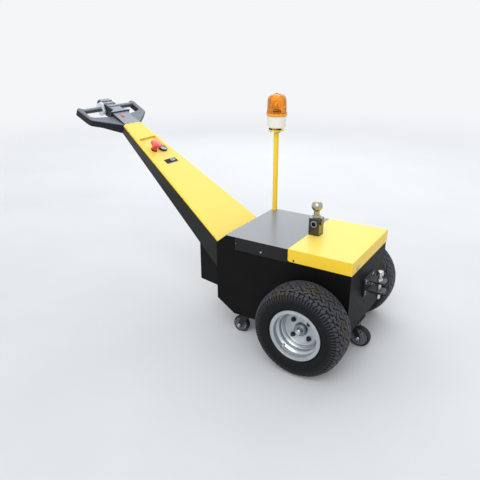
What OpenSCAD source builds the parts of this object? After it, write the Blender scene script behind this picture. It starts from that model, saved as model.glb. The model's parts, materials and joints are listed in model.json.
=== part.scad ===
// Pedestrian electric tow tug: a steel box on two driven turf wheels and three
// castors, steered by a long tapered arm with a tiller head, with a tow ball,
// a pin jaw and a warning beacon. Millimetres, Z up, +X towards the pin jaw.
// Sizes are measured from the drive axle; placed() moves them to the part's
// own origin, at the middle of the footprint.

/* [Body] */
// Length of the body from rear wall to front wall
body_len = 651; // [600:1:700]
// Distance of the front wall ahead of the drive axle
front_reach = 165; // [150:1:180]
// Width of the body over its side plates
body_w = 442; // [420:1:470]
// Height of the black lid's top above the ground
body_top = 502; // [480:1:530]
// Height of the flat underside above the ground
body_floor = 110; // [106:1:130]
// Thickness of the welded body plates
plate_t = 4; // [3:0.5:6]
// Run of the sloped edge at the rear top
shoulder_run = 52; // [40:1:60]
// Drop of the sloped edge at the rear top
shoulder_drop = 46; // [35:1:55]
// Run of the swept underside at the rear
heel_run = 93; // [80:1:110]
// Rise of the swept underside at the rear
heel_rise = 60; // [45:1:75]
// Rise of the underside over the front castor
nose_rise = 51; // [40:1:60]
// Flat length of the raised underside at the front
nose_flat = 96; // [92:1:104]
// Run of the slope up to the raised underside
nose_run = 48; // [40:1:60]

/* [Lid and cover] */
// Thickness of the lid and cover sheets
skin_t = 2.5; // [2:0.5:3]
// Length of the yellow front cover
cover_len = 286; // [270:1:300]
// Depth of the cover's folded edge
cover_skirt = 57; // [40:1:70]
// Depth of the lid's side edges
lid_skirt = 60; // [40:1:70]
// How far the lid's side edges stop short of its rear
lid_skirt_gap = 51; // [30:1:70]
// How far the cover stands above the lid
cover_step = 2; // [1:0.5:3]
// Gap between lid and cover
seam = 2; // [1:0.5:4]
// Radius of the rounded corners of the folded edges
skirt_r = 9; // [4:1:14]

/* [Drive wheels] */
// Outer radius of the turf tyres
tyre_r = 200; // [190:1:210]
// Width of the turf tyres
tyre_w = 160; // [140:1:180]
// Running gap between tyre and body side
wheel_gap = 6; // [5:0.5:12]
// Thickness of the tyre's carcass
carcass_t = 9; // [7:0.5:12]
// Radius of the rim where the tyre's bead sits
bead_seat_r = 101.6; // [98:0.1:106]
// Radius of the rim over its flanges
flange_r = 115; // [111:0.5:118]
// Thickness of the rim's steel
rim_t = 3.5; // [3:0.5:4.5]
// Radius of the wheel's bolt circle
bolt_circle_r = 50.8; // [48:0.1:54]
// Number of holes in the wheel's disc
bolt_count = 4; // [4:1:5]
// Radius of the holes in the wheel's disc
bolt_hole_r = 6.5; // [5:0.5:7.5]
// Radius of the wheel's centre bore
wheel_bore_r = 30; // [28.5:0.5:33]
// Radius of the hub's nose in that bore
hub_nose_r = 26; // [22:0.5:28]
// Length of the hub's nose beyond the disc
hub_nose_len = 20; // [12:1:26]
// Radius of the drive shaft
shaft_r = 15; // [12:0.5:18]
// Outer radius of the fixed axle tube
axle_tube_r = 30; // [26:1:34]

/* [Castors] */
// Radius of the front castor's wheel
front_castor_r = 50; // [45:1:52]
// Radius of the rear castors' wheels
rear_castor_r = 40; // [35:1:42]
// Distance of the front castor's pivot behind the front wall
front_castor_in = 50; // [45:1:54]
// Distance of the rear castors' pivots ahead of the rear wall
rear_castor_ahead = 141; // [136:1:151]
// Distance of the rear castors' pivots in from the body's sides
rear_castor_in = 45; // [41:1:60]
// Height of the bracket above the front castor
castor_bracket_h = 31; // [25:1:36]

/* [Arm] */
// Distance of the arm's top end behind the drive axle
arm_top_back = 1168; // [1120:1:1200]
// Height of the arm's top end
arm_top_z = 906; // [880:1:930]
// Slope of the yellow arm panel in degrees
arm_slope = 34.65; // [33:0.05:36]
// Slope of the arm's underside in degrees
arm_under_slope = 39.5; // [38:0.1:41]
// Half width of the arm at its top end
arm_half_top = 58.8; // [54:0.1:64]
// Half width of the arm at the body
arm_half_root = 185; // [170:1:200]
// Thickness of the arm's sheet steel
arm_t = 3; // [2:0.5:4]
// Rise of the yellow panel's top over the arm's sides
panel_rise = 6; // [4:0.5:8]
// Width and drop of the panel's slanted flanks
panel_flank = 7; // [5:0.5:8]
// Depth of the panel's folded edge below its top
lip_h = 16; // [15:1:20]
// Length of the boxed foot where the arm meets the body
foot_len = 142; // [125:1:160]
// Height of the foot's underside above the ground
foot_z = 210; // [200:1:230]

/* [Switch panel] */
// Distance of the sunk switch plate from the arm's top end
pocket_start = 119; // [105:1:125]
// Length of the sunk switch plate
pocket_len = 119; // [110:1:125]
// Width of the sunk switch plate
pocket_w = 126; // [116:1:130]
// Depth of the switch plate at its upper end
pocket_drop = 11; // [6:1:14]
// Radius of the red stop button
stop_r = 29.5; // [25:0.5:31]
// Height of the red stop button
stop_h = 50; // [42:1:56]
// Radius of the key switch's collar
key_r = 25; // [20:1:26]
// Width of the battery meter
meter_w = 87; // [70:1:94]
// Length of the battery meter along the arm
meter_len = 32; // [28:1:40]

/* [Tiller head] */
// Slope of the tiller head in degrees
head_slope = 24.2; // [22:0.1:28]
// Reach of the tiller head beyond the arm
head_len = 201; // [192:1:210]
// Half width of the tiller head at its horn tips
horn_half = 207; // [200:1:214]
// How far the head's shoulders stand in from the horn tips
shoulder_tuck = 8; // [5:1:14]
// Width of the horns that hold the grip
horn_w = 31; // [27:1:34]
// Rise of the horns towards their tips
horn_rise = 8.5; // [8:0.5:12]
// Thickness of the tiller head where it joins the arm
head_root_t = 47; // [44:1:50]
// Thickness of the tiller head at the horn tips
head_tip_t = 22; // [20:1:25]
// Radius of the grip bar
grip_r = 13; // [11:0.5:13]
// Distance of the grip bar in from the horn tips
grip_in = 17; // [16.5:0.5:19]
// Height of the control pod above the head
pod_h = 27; // [23:1:30]
// Half width of the control pod behind its collar
pod_half_mid = 36; // [32:1:38]
// Half width of the collar at the pod's root
collar_half = 66; // [60:1:70]
// Number of ribs across the control pod
rib_count = 3; // [2:1:3]

/* [Tow ball] */
// Width of the square ball post
post_w = 50; // [46:1:54]
// Height of the ball post's top
post_top = 583; // [570:1:600]
// Radius of the tow ball
ball_r = 25; // [24:0.5:26]
// Height of the tow ball's centre
ball_z = 635; // [630:1:650]
// Radius of the cross bore through the post
eye_r = 10; // [8:0.5:11]

/* [Pin jaw] */
// Radius of the hitch pin
pin_r = 8.5; // [7:0.5:9.5]
// Distance of the hitch pin ahead of the front wall
pin_reach = 52; // [48:1:56]
// Reach of the jaw plates ahead of the front wall
jaw_reach = 80; // [76:1:88]
// Thickness of the jaw plates
jaw_t = 8; // [6:1:10]
// Clear height between the jaw plates
jaw_gap = 40; // [34:1:44]
// Height of the upper jaw plate's top
jaw_top = 352; // [340:1:356]
// Half width of the jaw plates
jaw_half = 28; // [25:1:32]
// Distance between the hitch bolts across
hitch_bolt_y = 82; // [76:1:90]
// Distance between the hitch bolts in height
hitch_bolt_z = 52; // [44:1:56]

/* [Beacon] */
// Radius of the beacon's pole
pole_r = 12.5; // [10:0.5:14]
// Height of the pole's top
pole_top = 907; // [860:1:940]
// Radius of the beacon
beacon_r = 50; // [45:1:54]
// Height of the amber dome
dome_h = 98; // [84:1:106]

/* [Hidden] */
$fn = 72;

// Running clearance of a pin or shaft, and of pieces pushed into each other
run_clear = 0.3;
seat_clear = 0.1;

// Body stations
rear_x = front_reach - body_len;
skin_low = body_top - skin_t;
inner_half = body_w / 2 - plate_t;
cover_rear = front_reach + skin_t - cover_len;
lid_front = cover_rear - seam;
lid_rear = rear_x + shoulder_run;
nose_z = body_floor + nose_rise;

// Outside of the folded rear wall and underside, from the lid round to the front wall
shell_path = [
    [lid_rear, skin_low],
    [rear_x, body_top - shoulder_drop],
    [rear_x, body_floor + heel_rise],
    [rear_x + heel_run, body_floor],
    [front_reach - nose_flat - nose_run, body_floor],
    [front_reach - nose_flat, nose_z],
    [front_reach - plate_t, nose_z]
];

// Wheels
wheel_y = body_w / 2 + wheel_gap + tyre_w / 2;
disc_y = 1;
bead_gap = 0.4;
hub_flange_t = 9;

// Arm
arm_top_x = -arm_top_back;
arm_root_z = arm_top_z - (rear_x - arm_top_x) * tan(arm_slope);
arm_taper = (arm_half_root - arm_half_top) / (rear_x - arm_top_x);
arm_under_x = arm_top_x - head_root_t * sin(head_slope);
arm_under_z = arm_top_z - head_root_t * cos(head_slope);
foot_x = rear_x - foot_len;
panel_edge_t = 1.5;

// Tiller head
grip_back = head_len - grip_in;
grip_drop = 7.5;
pod_rear = -head_len - 30;
pod_root = -92;
head_half = horn_half - shoulder_tuck;

// Pin jaw
hitch_t = 8;
hitch_half = 62;
hitch_z = jaw_top - jaw_t - jaw_gap / 2;
jaw_tip_x = front_reach + jaw_reach;
pin_x = front_reach + pin_reach;
hitch_bolt_r = 5.25;

// Red belly button: radius of its rim and face, depth of each
belly_r = 19;
belly_drop = 8;
belly_face_r = 14;
belly_seat = pod_rear - 3;
belly_depth = 16;

// Middle of the part along X, between the belly button and the jaw's tips
handle_tip_x = arm_top_x + (belly_seat - belly_depth) * cos(head_slope)
    - (belly_drop + belly_face_r) * sin(head_slope);
mid_x = (jaw_tip_x + handle_tip_x) / 2;

// Geometry helpers

function unit(v) = v / norm(v);
function reversed(p) = [for (i = [len(p) - 1:-1:0]) p[i]];
function side_of(a, b) = unit([a[1] - b[1], b[0] - a[0]]);

// A path moved sideways by t, with mitred corners
function beside(p, t) = [
    for (i = [0:len(p) - 1])
        let (
            n0 = side_of(p[max(i - 1, 0)], p[max(i, 1)]),
            n1 = side_of(p[min(i, len(p) - 2)], p[min(i + 1, len(p) - 1)])
        )
        p[i] + t * (n0 + n1) / (1 + n0 * n1)
];

// Outline of a sheet of thickness t along part of a path, from point a to point b
function sheet_outline(p, t, a, b) =
    let (q = beside(p, t))
    concat([for (i = [a:b]) p[i]], [for (i = [b:-1:a]) q[i]]);

// Arc that rounds the corner b between a and c
function corner(a, b, c, r, n) =
    let (
        u = unit(a - b),
        w = unit(c - b),
        half = acos(u * w) / 2,
        o = b + unit(u + w) * r / sin(half),
        s = b + u * r / tan(half) - o,
        e = b + w * r / tan(half) - o,
        a0 = atan2(s[1], s[0]),
        turn = (atan2(e[1], e[0]) - a0 + 540) % 360 - 180
    )
    [for (i = [0:n]) o + r * [cos(a0 + turn * i / n), sin(a0 + turn * i / n)]];

// Outline from rows of [x, y, corner radius]
function rounded(rows, n = 4) = [
    for (i = [0:len(rows) - 1])
        let (
            k = len(rows),
            a = rows[(i + k - 1) % k],
            b = rows[i],
            c = rows[(i + 1) % k]
        )
        each b[2] > 0
            ? corner([a[0], a[1]], [b[0], b[1]], [c[0], c[1]], b[2], n)
            : [[b[0], b[1]]]
];

// Open path from rows of [x, y, corner radius]
function eased(rows, n = 4) = [
    for (i = [0:len(rows) - 1])
        let (b = rows[i], bends = i > 0 && i < len(rows) - 1 && b[2] > 0)
        each bends
            ? corner([rows[i - 1][0], rows[i - 1][1]], [b[0], b[1]],
                     [rows[i + 1][0], rows[i + 1][1]], b[2], n)
            : [[b[0], b[1]]]
];

// A closed anticlockwise outline moved inwards by t
function inset(p, t) = [
    for (i = [0:len(p) - 1])
        let (
            k = len(p),
            n0 = side_of(p[(i + k - 1) % k], p[i]),
            n1 = side_of(p[i], p[(i + 1) % k])
        )
        p[i] + t * (n0 + n1) / (1 + n0 * n1)
];

// Rows mirrored about the first axis, to close a symmetric outline
function both_sides(rows) = concat(rows, [for (p = reversed(rows)) [p[0], -p[1], p[2]]]);

function arm_half(x) = arm_half_top + (x - arm_top_x) * arm_taper;

module placed() {
    translate([-mid_x, 0, 0]) children();
}

// A side view outline (x, z) made w wide, centred on the centreline
module across(w) {
    rotate([90, 0, 0]) linear_extrude(w, center = true) children();
}

// A side view outline (x, z) that fills y from y0 to y1
module between(y0, y1) {
    translate([0, (y0 + y1) / 2, 0]) across(y1 - y0) children();
}

// A section (radius, y) turned about an axis along Y
module turned_y() {
    rotate([-90, 0, 0]) rotate_extrude() children();
}

module rod_y(r, y0, y1) {
    translate([0, y0, 0]) rotate([-90, 0, 0]) cylinder(r = r, h = y1 - y0);
}

// A face with the same first point, turned to look the other way
function turned(f) = [for (i = [0:len(f) - 1]) f[(len(f) - i) % len(f)]];

// Solid skinned over rings of points; its end faces are lists of places in a ring
module skinned(rings, ends) {
    k = len(rings[0]);
    last = len(rings) - 1;
    polyhedron(
        points = [for (ring = rings) each ring],
        faces = concat(
            ends,
            [for (f = ends) [for (i = turned(f)) last * k + i]],
            [for (j = [0:last - 1], i = [0:k - 1])
                let (n = (i + 1) % k)
                [j * k + i, (j + 1) * k + i, (j + 1) * k + n, j * k + n]]
        )
    );
}

module mirrored(side) {
    if (side > 0) children();
    else mirror([0, 1, 0]) children();
}

// Body

module side_plate(side) {
    color("#1c1c1e") placed() mirrored(side)
        difference() {
            between(inner_half, body_w / 2)
                polygon(concat(
                    [for (i = [0:5]) shell_path[i]],
                    [[front_reach, nose_z], [front_reach, skin_low]]
                ));
            translate([0, 0, tyre_r])
                rod_y(axle_tube_r + seat_clear, inner_half - 1, body_w / 2 + 1);
        }
}

module rear_plate() {
    color("#1c1c1e") placed() across(2 * inner_half)
        polygon(sheet_outline(shell_path, plate_t, 0, 2));
}

module floor_pan() {
    color("#1c1c1e") placed() across(2 * inner_half)
        polygon(sheet_outline(shell_path, plate_t, 2, 6));
}

// Spare holes in the front wall: y, height, radius
front_holes = [[45, 392, 4], [-26, 246, 3], [30, 246, 3]];

module front_plate() {
    color("#1c1c1e") placed()
        difference() {
            translate([front_reach - plate_t, -inner_half, nose_z])
                cube([plate_t, 2 * inner_half, skin_low - nose_z]);
            hitch_bolt_holes();
            for (h = front_holes)
                translate([front_reach - plate_t - 1, h[0], h[1]])
                    rotate([0, 90, 0]) cylinder(r = h[2], h = plate_t + 2);
        }
}

module hitch_bolt_holes() {
    for (y = [-1, 1], z = [-1, 1])
        translate([front_reach - plate_t - 1, y * hitch_bolt_y / 2, hitch_z + z * hitch_bolt_z / 2])
            rotate([0, 90, 0])
                cylinder(r = hitch_bolt_r, h = plate_t + hitch_t + 2);
}

drive_unit_up = 65;
block_gap = 4;
block_top = 330;

module battery_block() {
    x0 = rear_x + heel_run + 2 * plate_t;
    x1 = post_rear - block_gap;
    color("#55585c") placed()
        translate([x0, -inner_half + block_gap * 4, body_floor + plate_t])
            cube([x1 - x0, 2 * inner_half - block_gap * 8, block_top - body_floor - plate_t]);
}

module drive_unit() {
    rear = post_rear + post_w + block_gap;
    front = front_reach - nose_flat - nose_run - block_gap;
    color("#6a6d70") placed()
        translate([rear, -drive_unit_y, body_floor + plate_t])
            cube([front - rear, 2 * drive_unit_y, tyre_r + drive_unit_up - body_floor - plate_t]);
}

drive_unit_in = 90;
drive_unit_y = body_w / 2 - drive_unit_in;
tube_reach = wheel_y - hub_flange_t - 9;
tube_flange_r = 56;
tube_flange_t = 8;

module axle_tubes() {
    color("#2a2b2d") placed() for (side = [-1, 1]) mirrored(side)
        translate([0, 0, tyre_r])
            difference() {
                union() {
                    rod_y(axle_tube_r, drive_unit_y, tube_reach);
                    rod_y(tube_flange_r, body_w / 2, body_w / 2 + tube_flange_t);
                }
                rod_y(shaft_r + run_clear, drive_unit_y - 1, tube_reach + 1);
            }
}

// Lid and cover

module lid() {
    half = body_w / 2 + skin_t;
    skirt_rear = lid_rear + lid_skirt_gap;
    color("#202124") placed() {
        translate([0, 0, skin_low]) linear_extrude(skin_t)
            polygon(rounded([
                [lid_rear, -half, 3], [lid_front, -half, 0],
                [lid_front, half, 0], [lid_rear, half, 3]
            ]));
        for (side = [-1, 1]) mirrored(side)
            between(body_w / 2, half)
                polygon(rounded([
                    [skirt_rear, skin_low, 0], [skirt_rear, body_top - lid_skirt, 0],
                    [lid_front, body_top - lid_skirt, skirt_r], [lid_front, skin_low, 0]
                ]));
    }
}

notch_clear = 1.5;

module cover() {
    half = body_w / 2 + skin_t;
    front = front_reach + skin_t;
    top = body_top + cover_step;
    low = top - cover_skirt;
    color("#f7d23e") placed()
        difference() {
            union() {
                translate([cover_rear, -half, top - skin_t])
                    cube([cover_len, 2 * half, skin_t]);
                for (side = [-1, 1]) mirrored(side)
                    between(body_w / 2, half)
                        polygon(rounded([
                            [cover_rear, top - skin_t, 0], [cover_rear, low, skirt_r],
                            [front, low, 0], [front, top - skin_t, 0]
                        ]));
                translate([front_reach, -half, low]) cube([skin_t, 2 * half, cover_skirt - skin_t]);
            }
            translate([cover_rear - 1, -post_w / 2 - notch_clear, low])
                cube([post_rear + post_w + notch_clear - cover_rear + 1,
                      post_w + 2 * notch_clear, cover_skirt + 1]);
        }
}

catch_w = 22;
catch_h = 20;
catch_in = 61;
catch_y = catch_in - body_w / 2;

module cover_catch() {
    x = front_reach + skin_t;
    z = body_top + cover_step - cover_skirt + 6;
    color("#e4e2d8") placed()
        translate([x, catch_y, z])
            rotate([90, 0, 90]) linear_extrude(4)
                polygon(rounded([
                    [-catch_w / 2, 0, 4], [catch_w / 2, 0, 4],
                    [catch_w / 2, catch_h, 4], [-catch_w / 2, catch_h, 4]
                ]));
}

// Tow ball

post_rear = cover_rear;
post_x = post_rear + post_w / 2;
eye_z = post_top - 26;
bush_r = 15;
bush_proud = 3;

module ball_post() {
    color("#1b1b1c") placed() translate([post_x, 0, 0])
        difference() {
            union() {
                translate([-post_w / 2, -post_w / 2, body_floor + plate_t])
                    cube([post_w, post_w, post_top - body_floor - plate_t]);
                translate([post_w / 2 - 1, 0, eye_z + 6])
                    rotate([0, 90, 0]) cylinder(r = bush_r, h = 7);
            }
            translate([0, 0, eye_z])
                rod_y(bush_r + seat_clear, -post_w / 2 - 1, post_w / 2 + 1);
        }
}

module post_bush() {
    color("#c9c4bb") placed() translate([post_x, 0, eye_z])
        difference() {
            rod_y(bush_r, -post_w / 2 - bush_proud, post_w / 2 + bush_proud);
            rod_y(eye_r, -post_w / 2 - bush_proud - 1, post_w / 2 + bush_proud + 1);
        }
}

// Ball on its neck, chrome collar and hexagonal nut: section (radius, height over the post)
ball_neck_r = 13;
collar_r = 19;
nut_h = 9;
collar_h = 4;

module tow_ball() {
    rise = ball_z - post_top;
    neck_z = rise - sqrt(ball_r * ball_r - ball_neck_r * ball_neck_r);
    color("#d9dbdd") placed() translate([post_x, 0, post_top]) {
        cylinder(r = collar_r + 2, h = nut_h, $fn = 6);
        translate([0, 0, nut_h]) cylinder(r = collar_r, h = collar_h);
        translate([0, 0, nut_h + collar_h]) cylinder(r = ball_neck_r, h = neck_z - nut_h - collar_h);
        translate([0, 0, rise])
            difference() {
                sphere(r = ball_r);
                translate([-ball_r, -ball_r, -2 * ball_r + neck_z - rise])
                    cube([2 * ball_r, 2 * ball_r, 2 * ball_r]);
                translate([-ball_r, -ball_r, ball_r - 2]) cube(2 * ball_r);
            }
    }
}

// Pin jaw

module hitch_bracket() {
    root = front_reach + hitch_t;
    low = hitch_z - hitch_bolt_z / 2 - 14;
    high = hitch_z + hitch_bolt_z / 2 + 14;
    color("#26272a") placed()
        difference() {
            union() {
                translate([front_reach, -hitch_half, low])
                    cube([hitch_t, 2 * hitch_half, high - low]);
                for (z = [jaw_top - jaw_t, jaw_top - 2 * jaw_t - jaw_gap])
                    translate([0, 0, z]) linear_extrude(jaw_t)
                        polygon(rounded(both_sides([
                            [root - 1, -hitch_bolt_y / 2 + 11, 0],
                            [root + 22, -jaw_half, 6],
                            [jaw_tip_x, -jaw_half, 12]
                        ])));
            }
            hitch_bolt_holes();
            translate([pin_x, 0, low])
                cylinder(r = pin_r + run_clear, h = high - low + 1);
        }
}

// Pin: head, grip, collar that rests on the upper plate, shank with a pointed end
pin_tip_z = 262;
pin_head_h = 19;
pin_collar_h = 6;
pin_rise = 43;

module hitch_pin() {
    head_r = pin_r + 5;
    color("#c8ccd0") placed() translate([pin_x, 0, 0])
        rotate_extrude()
            polygon([
                [0, pin_tip_z], [pin_r - 3, pin_tip_z], [pin_r, pin_tip_z + 5],
                [pin_r, jaw_top], [head_r, jaw_top], [head_r - 2, jaw_top + pin_collar_h],
                [pin_r, jaw_top + pin_collar_h + 2],
                [pin_r, jaw_top + pin_rise - pin_head_h - 4],
                [head_r, jaw_top + pin_rise - pin_head_h],
                [head_r, jaw_top + pin_rise - 3], [head_r - 3, jaw_top + pin_rise],
                [0, jaw_top + pin_rise]
            ]);
}

// Arm

// Point on the head's end face that lies on a line run a drop below the panel's top
function head_face(drop) =
    let (dz = -drop / (1 + tan(head_slope) * tan(arm_slope)))
    [arm_top_x + dz * tan(head_slope), arm_top_z + dz];

function arm_top_line(drop) = [head_face(drop), [rear_x, arm_root_z - drop]];

function arm_under_line(rise) = [
    [rear_x, arm_under_z - (rear_x - arm_under_x) * tan(arm_under_slope) + rise],
    [arm_under_x, arm_under_z + rise]
];

// Plan of the arm, widened by m
module arm_plan(m, x0) {
    linear_extrude(arm_top_z + 50)
        polygon([
            [x0, -arm_half(x0) - m], [rear_x, -arm_half(rear_x) - m],
            [rear_x, arm_half(rear_x) + m], [x0, arm_half(x0) + m]
        ]);
}

// Drop of the channel's walls below the line the panel is raised from
wall_drop = arm_t + 1;

module arm_channel() {
    x0 = arm_under_x - 5;
    color("#1e1f22") placed()
        difference() {
            intersection() {
                across(2 * body_w) polygon(concat(arm_top_line(wall_drop), arm_under_line(0)));
                arm_plan(0, x0);
            }
            intersection() {
                across(2 * body_w)
                    polygon([
                        [arm_top_x + arm_t * 2, arm_top_z],
                        [rear_x + 1, arm_root_z],
                        [rear_x + 1, arm_under_line(arm_t * 1.3)[0][1] - tan(arm_under_slope)],
                        [arm_under_x + arm_t * 2.5, arm_under_z]
                    ]);
                translate([0, 0, -1]) arm_plan(-arm_t, x0);
            }
        }
}

module arm_foot() {
    under = arm_under_line(0);
    seam_z = under[0][1] + foot_len * tan(arm_under_slope);
    color("#1e1f22") placed()
        difference() {
            intersection() {
                across(2 * body_w)
                    polygon([[foot_x, seam_z], [rear_x, under[0][1]], [rear_x, foot_z], [foot_x, foot_z]]);
                arm_plan(0, foot_x - 5);
            }
            intersection() {
                across(2 * body_w)
                    polygon([
                        [foot_x + arm_t, seam_z + 5], [rear_x + 1, under[0][1] + 5],
                        [rear_x + 1, foot_z + arm_t], [foot_x + arm_t, foot_z + arm_t]
                    ]);
                arm_plan(-arm_t, foot_x - 5);
            }
        }
}

// Stands at distance s down the panel, with Z out of its face
module on_panel(s, y) {
    translate([arm_top_x, y, arm_top_z + panel_rise])
        rotate([0, arm_slope, 0]) translate([s, 0, 0]) children();
}

// What lies outside the panel's slanted flanks, or outside planes sunk by t under them
module flank_waste(t) {
    for (side = [-1, 1]) {
        n = [tan(arm_slope) - arm_taper, side, 1];
        translate([arm_top_x, side * (arm_half_top + panel_edge_t - panel_flank), arm_top_z + panel_rise])
            rotate([0, acos(n[2] / norm(n)), atan2(n[1], n[0])])
                translate([-arm_top_back, -arm_top_back, -t])
                    cube([2 * arm_top_back, 2 * arm_top_back, 4 * lip_h]);
    }
}

module arm_panel() {
    color("#f7d23e") placed()
        difference() {
            intersection() {
                across(2 * body_w)
                    polygon(concat(arm_top_line(-panel_rise),
                                   reversed(arm_top_line(lip_h - panel_rise))));
                arm_plan(panel_edge_t, arm_top_x - lip_h);
            }
            flank_waste(0);
            difference() {
                intersection() {
                    across(2 * body_w)
                        polygon(concat(arm_top_line(arm_t - panel_rise),
                                       reversed(arm_top_line(2 * lip_h))));
                    arm_plan(0, arm_top_x - 2 * lip_h);
                }
                flank_waste(flank_t);
            }
            on_panel(pocket_start, -pocket_w / 2)
                translate([0, 0, -lip_h]) cube([pocket_len, pocket_w, 2 * lip_h]);
            on_panel(meter_s, meter_y - meter_w / 2)
                translate([0, 0, -lip_h]) cube([meter_len, meter_w, 2 * lip_h]);
        }
}

pocket_wall = 1.5;
pocket_floor_t = 3;
pocket_tilt = atan(pocket_drop / pocket_len);
meter_s = pocket_start + pocket_len + 50;
meter_y = 3;
flank_t = 2;

module switch_plate() {
    color("#f2cb3a") placed() on_panel(pocket_start, 0)
        difference() {
            across(pocket_w)
                polygon([[0, 0], [pocket_len, 0], [pocket_len, -pocket_floor_t],
                         [0, -pocket_drop - pocket_floor_t]]);
            across(pocket_w - 2 * pocket_wall)
                polygon([[pocket_wall, 1], [pocket_len + 1, 1], [pocket_len, 0],
                         [pocket_wall, -pocket_drop * (1 - pocket_wall / pocket_len)]]);
            switch_axis(stop_s, stop_y) translate([0, 0, -20]) cylinder(r = stop_bore_r + seat_clear, h = 40);
            switch_axis(key_s, key_y) translate([0, 0, -20]) cylinder(r = key_stem_r + seat_clear, h = 40);
        }
}

// Stands on the tilted switch plate, s from its upper end
module switch_axis(s, y) {
    translate([s, y, -pocket_drop * (1 - s / pocket_len)]) rotate([0, -pocket_tilt, 0]) children();
}

stop_s = 90;
stop_y = -33;
key_s = 94;
key_y = 28;
stop_bore_r = 8;
key_stem_r = 9;
stem_len = 20;

module stop_collar() {
    color("#2a2422") placed() on_panel(pocket_start, 0) switch_axis(stop_s, stop_y)
        difference() {
            cylinder(r = stop_r * 0.55, h = 6);
            translate([0, 0, -1]) cylinder(r = stop_bore_r + seat_clear, h = 8);
        }
}

module stop_button() {
    color("#e03a2c") placed() on_panel(pocket_start, 0) switch_axis(stop_s, stop_y)
        rotate_extrude()
            polygon([
                [0, -stem_len], [stop_bore_r, -stem_len], [stop_bore_r, 6],
                [stop_r * 0.46, 6], [stop_r * 0.5, stop_h * 0.35],
                [stop_r * 0.85, stop_h * 0.62], [stop_r, stop_h * 0.72],
                [stop_r, stop_h * 0.84], [stop_r * 0.9, stop_h * 0.93],
                [stop_r * 0.6, stop_h * 0.98], [0, stop_h]
            ]);
}

module key_switch() {
    color("#c3c6c9") placed() on_panel(pocket_start, 0) switch_axis(key_s, key_y)
        difference() {
            union() {
                translate([0, 0, -stem_len]) cylinder(r = key_stem_r, h = stem_len);
                rotate_extrude()
                    polygon([[0, 0], [key_r, 0], [key_r, 5], [key_r - 3, 9], [0, 9]]);
            }
            translate([0, 0, 6]) cylinder(r = key_r * 0.6, h = 4);
            translate([-6, -1, 2]) cube([12, 2, 8]);
        }
}

bezel_t = 2;

module meter() {
    color("#111214") placed() on_panel(meter_s, meter_y)
        difference() {
            translate([seat_clear, -meter_w / 2 + seat_clear, -22])
                cube([meter_len - 2 * seat_clear, meter_w - 2 * seat_clear, 22]);
            translate([bezel_t, -meter_w / 2 + bezel_t, -bezel_t])
                cube([meter_len - 2 * bezel_t, meter_w - 2 * bezel_t, bezel_t + 1]);
        }
}

// Tiller head, in its own sloped frame: x back along the head is negative, z out of its face

module on_head() {
    translate([arm_top_x, 0, arm_top_z]) rotate([0, head_slope, 0]) children();
}

// Plan of the head: reach, half width, corner radius; it laps over the arm's end and is cut there
shoulder_x = -88;
loop_root = -114;
wedge_half = 54;
head_lap = 8;
head_flare = (head_half - arm_half_top) / -shoulder_x;
head_rows = [
    [head_lap, arm_half_top - head_lap * head_flare, 0],
    [shoulder_x, head_half, 22],
    [-head_len, horn_half, 16],
    [-head_len, horn_half - horn_w, 7],
    [loop_root, horn_half - horn_w, 24],
    [pod_root, wedge_half + 2, 6]
];
head_mid_t = 31;
head_over = 5;
rim_r = 4.5;
rim_n = 5;
rise_start = -130;

// How far the head's top is lifted at a reach
function horn_lift(u) = u < rise_start ? horn_rise * (rise_start - u) / (head_len + rise_start) : 0;

// The head's outline carried up through rows of [height, inset], so that its rim is rounded;
// its end faces are two halves, each fanned out from the shoulder, and the piece between them
module tiller_head() {
    outline = rounded(both_sides(head_rows), rim_n);
    m = len(outline) / 2;
    half_face = [for (i = [0:m - 1]) (rim_n + 1 + i) % m];
    edge_rows = concat(
        [[-head_root_t - head_over, 0]],
        [for (a = [0:30:90]) rim_r * [sin(a) - 1, 1 - cos(a)]]
    );
    color("#4a4d52") placed() on_head()
        difference() {
            intersection() {
                skinned(
                    [for (row = edge_rows)
                        [for (q = inset(outline, row[1])) [q[0], q[1], row[0] + horn_lift(q[0])]]],
                    [half_face, turned([for (i = half_face) 2 * m - 1 - i]), [0, m - 1, m, 2 * m - 1]]
                );
                across(2 * (horn_half + head_over))
                    polygon([
                        [-seat_clear, horn_rise + head_over],
                        [-head_len - head_over, horn_rise + head_over],
                        [-head_len - head_over, -head_tip_t],
                        [loop_root, -head_mid_t], [shoulder_x + head_mid_t, -head_mid_t - 1],
                        [-seat_clear, -head_root_t]
                    ]);
            }
            translate([-grip_back, 0, -grip_drop])
                rod_y(grip_r + seat_clear, -grip_end, grip_end);
        }
}

grip_end = horn_half - 18;
grip_flare = 2;

module grip_bar() {
    face = horn_half - horn_w - seat_clear;
    rows = [[grip_r, grip_end], [grip_r, face], [grip_r + grip_flare, face],
            [grip_r + grip_flare / 4, face - 9], [grip_r, face - 17]];
    color("#5b6066") placed() on_head() translate([-grip_back, 0, -grip_drop])
        turned_y()
            polygon(concat(
                [[0, -grip_end]], [for (q = rows) [q[0], -q[1]]], reversed(rows), [[0, grip_end]]
            ));
}

// Stations of the pod from root to rear: reach, half width, underside, top
pod_rows = [
    [pod_root, pod_half_mid + 14, -28, pod_h - 1],
    [pod_root - 8, pod_half_mid + 7, -29, pod_h],
    [pod_root - 22, pod_half_mid + 1, -32, pod_h],
    [pod_root - 60, pod_half_mid, -36, pod_h],
    [pod_rear + 9, pod_half_mid + 1, -34, pod_h],
    [pod_rear + 1, pod_half_mid, -28, pod_h - 7],
    [pod_rear - 5, pod_half_mid - 5, -20, 8]
];
pod_corner = 6;
pod_foot = 0.8;
rib_pitch = 27;
rib_first = pod_root - 46;
rib_h = 4;

function pod_half(u) = lookup(u, [for (row = pod_rows) [row[0], row[1]]]);

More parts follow.
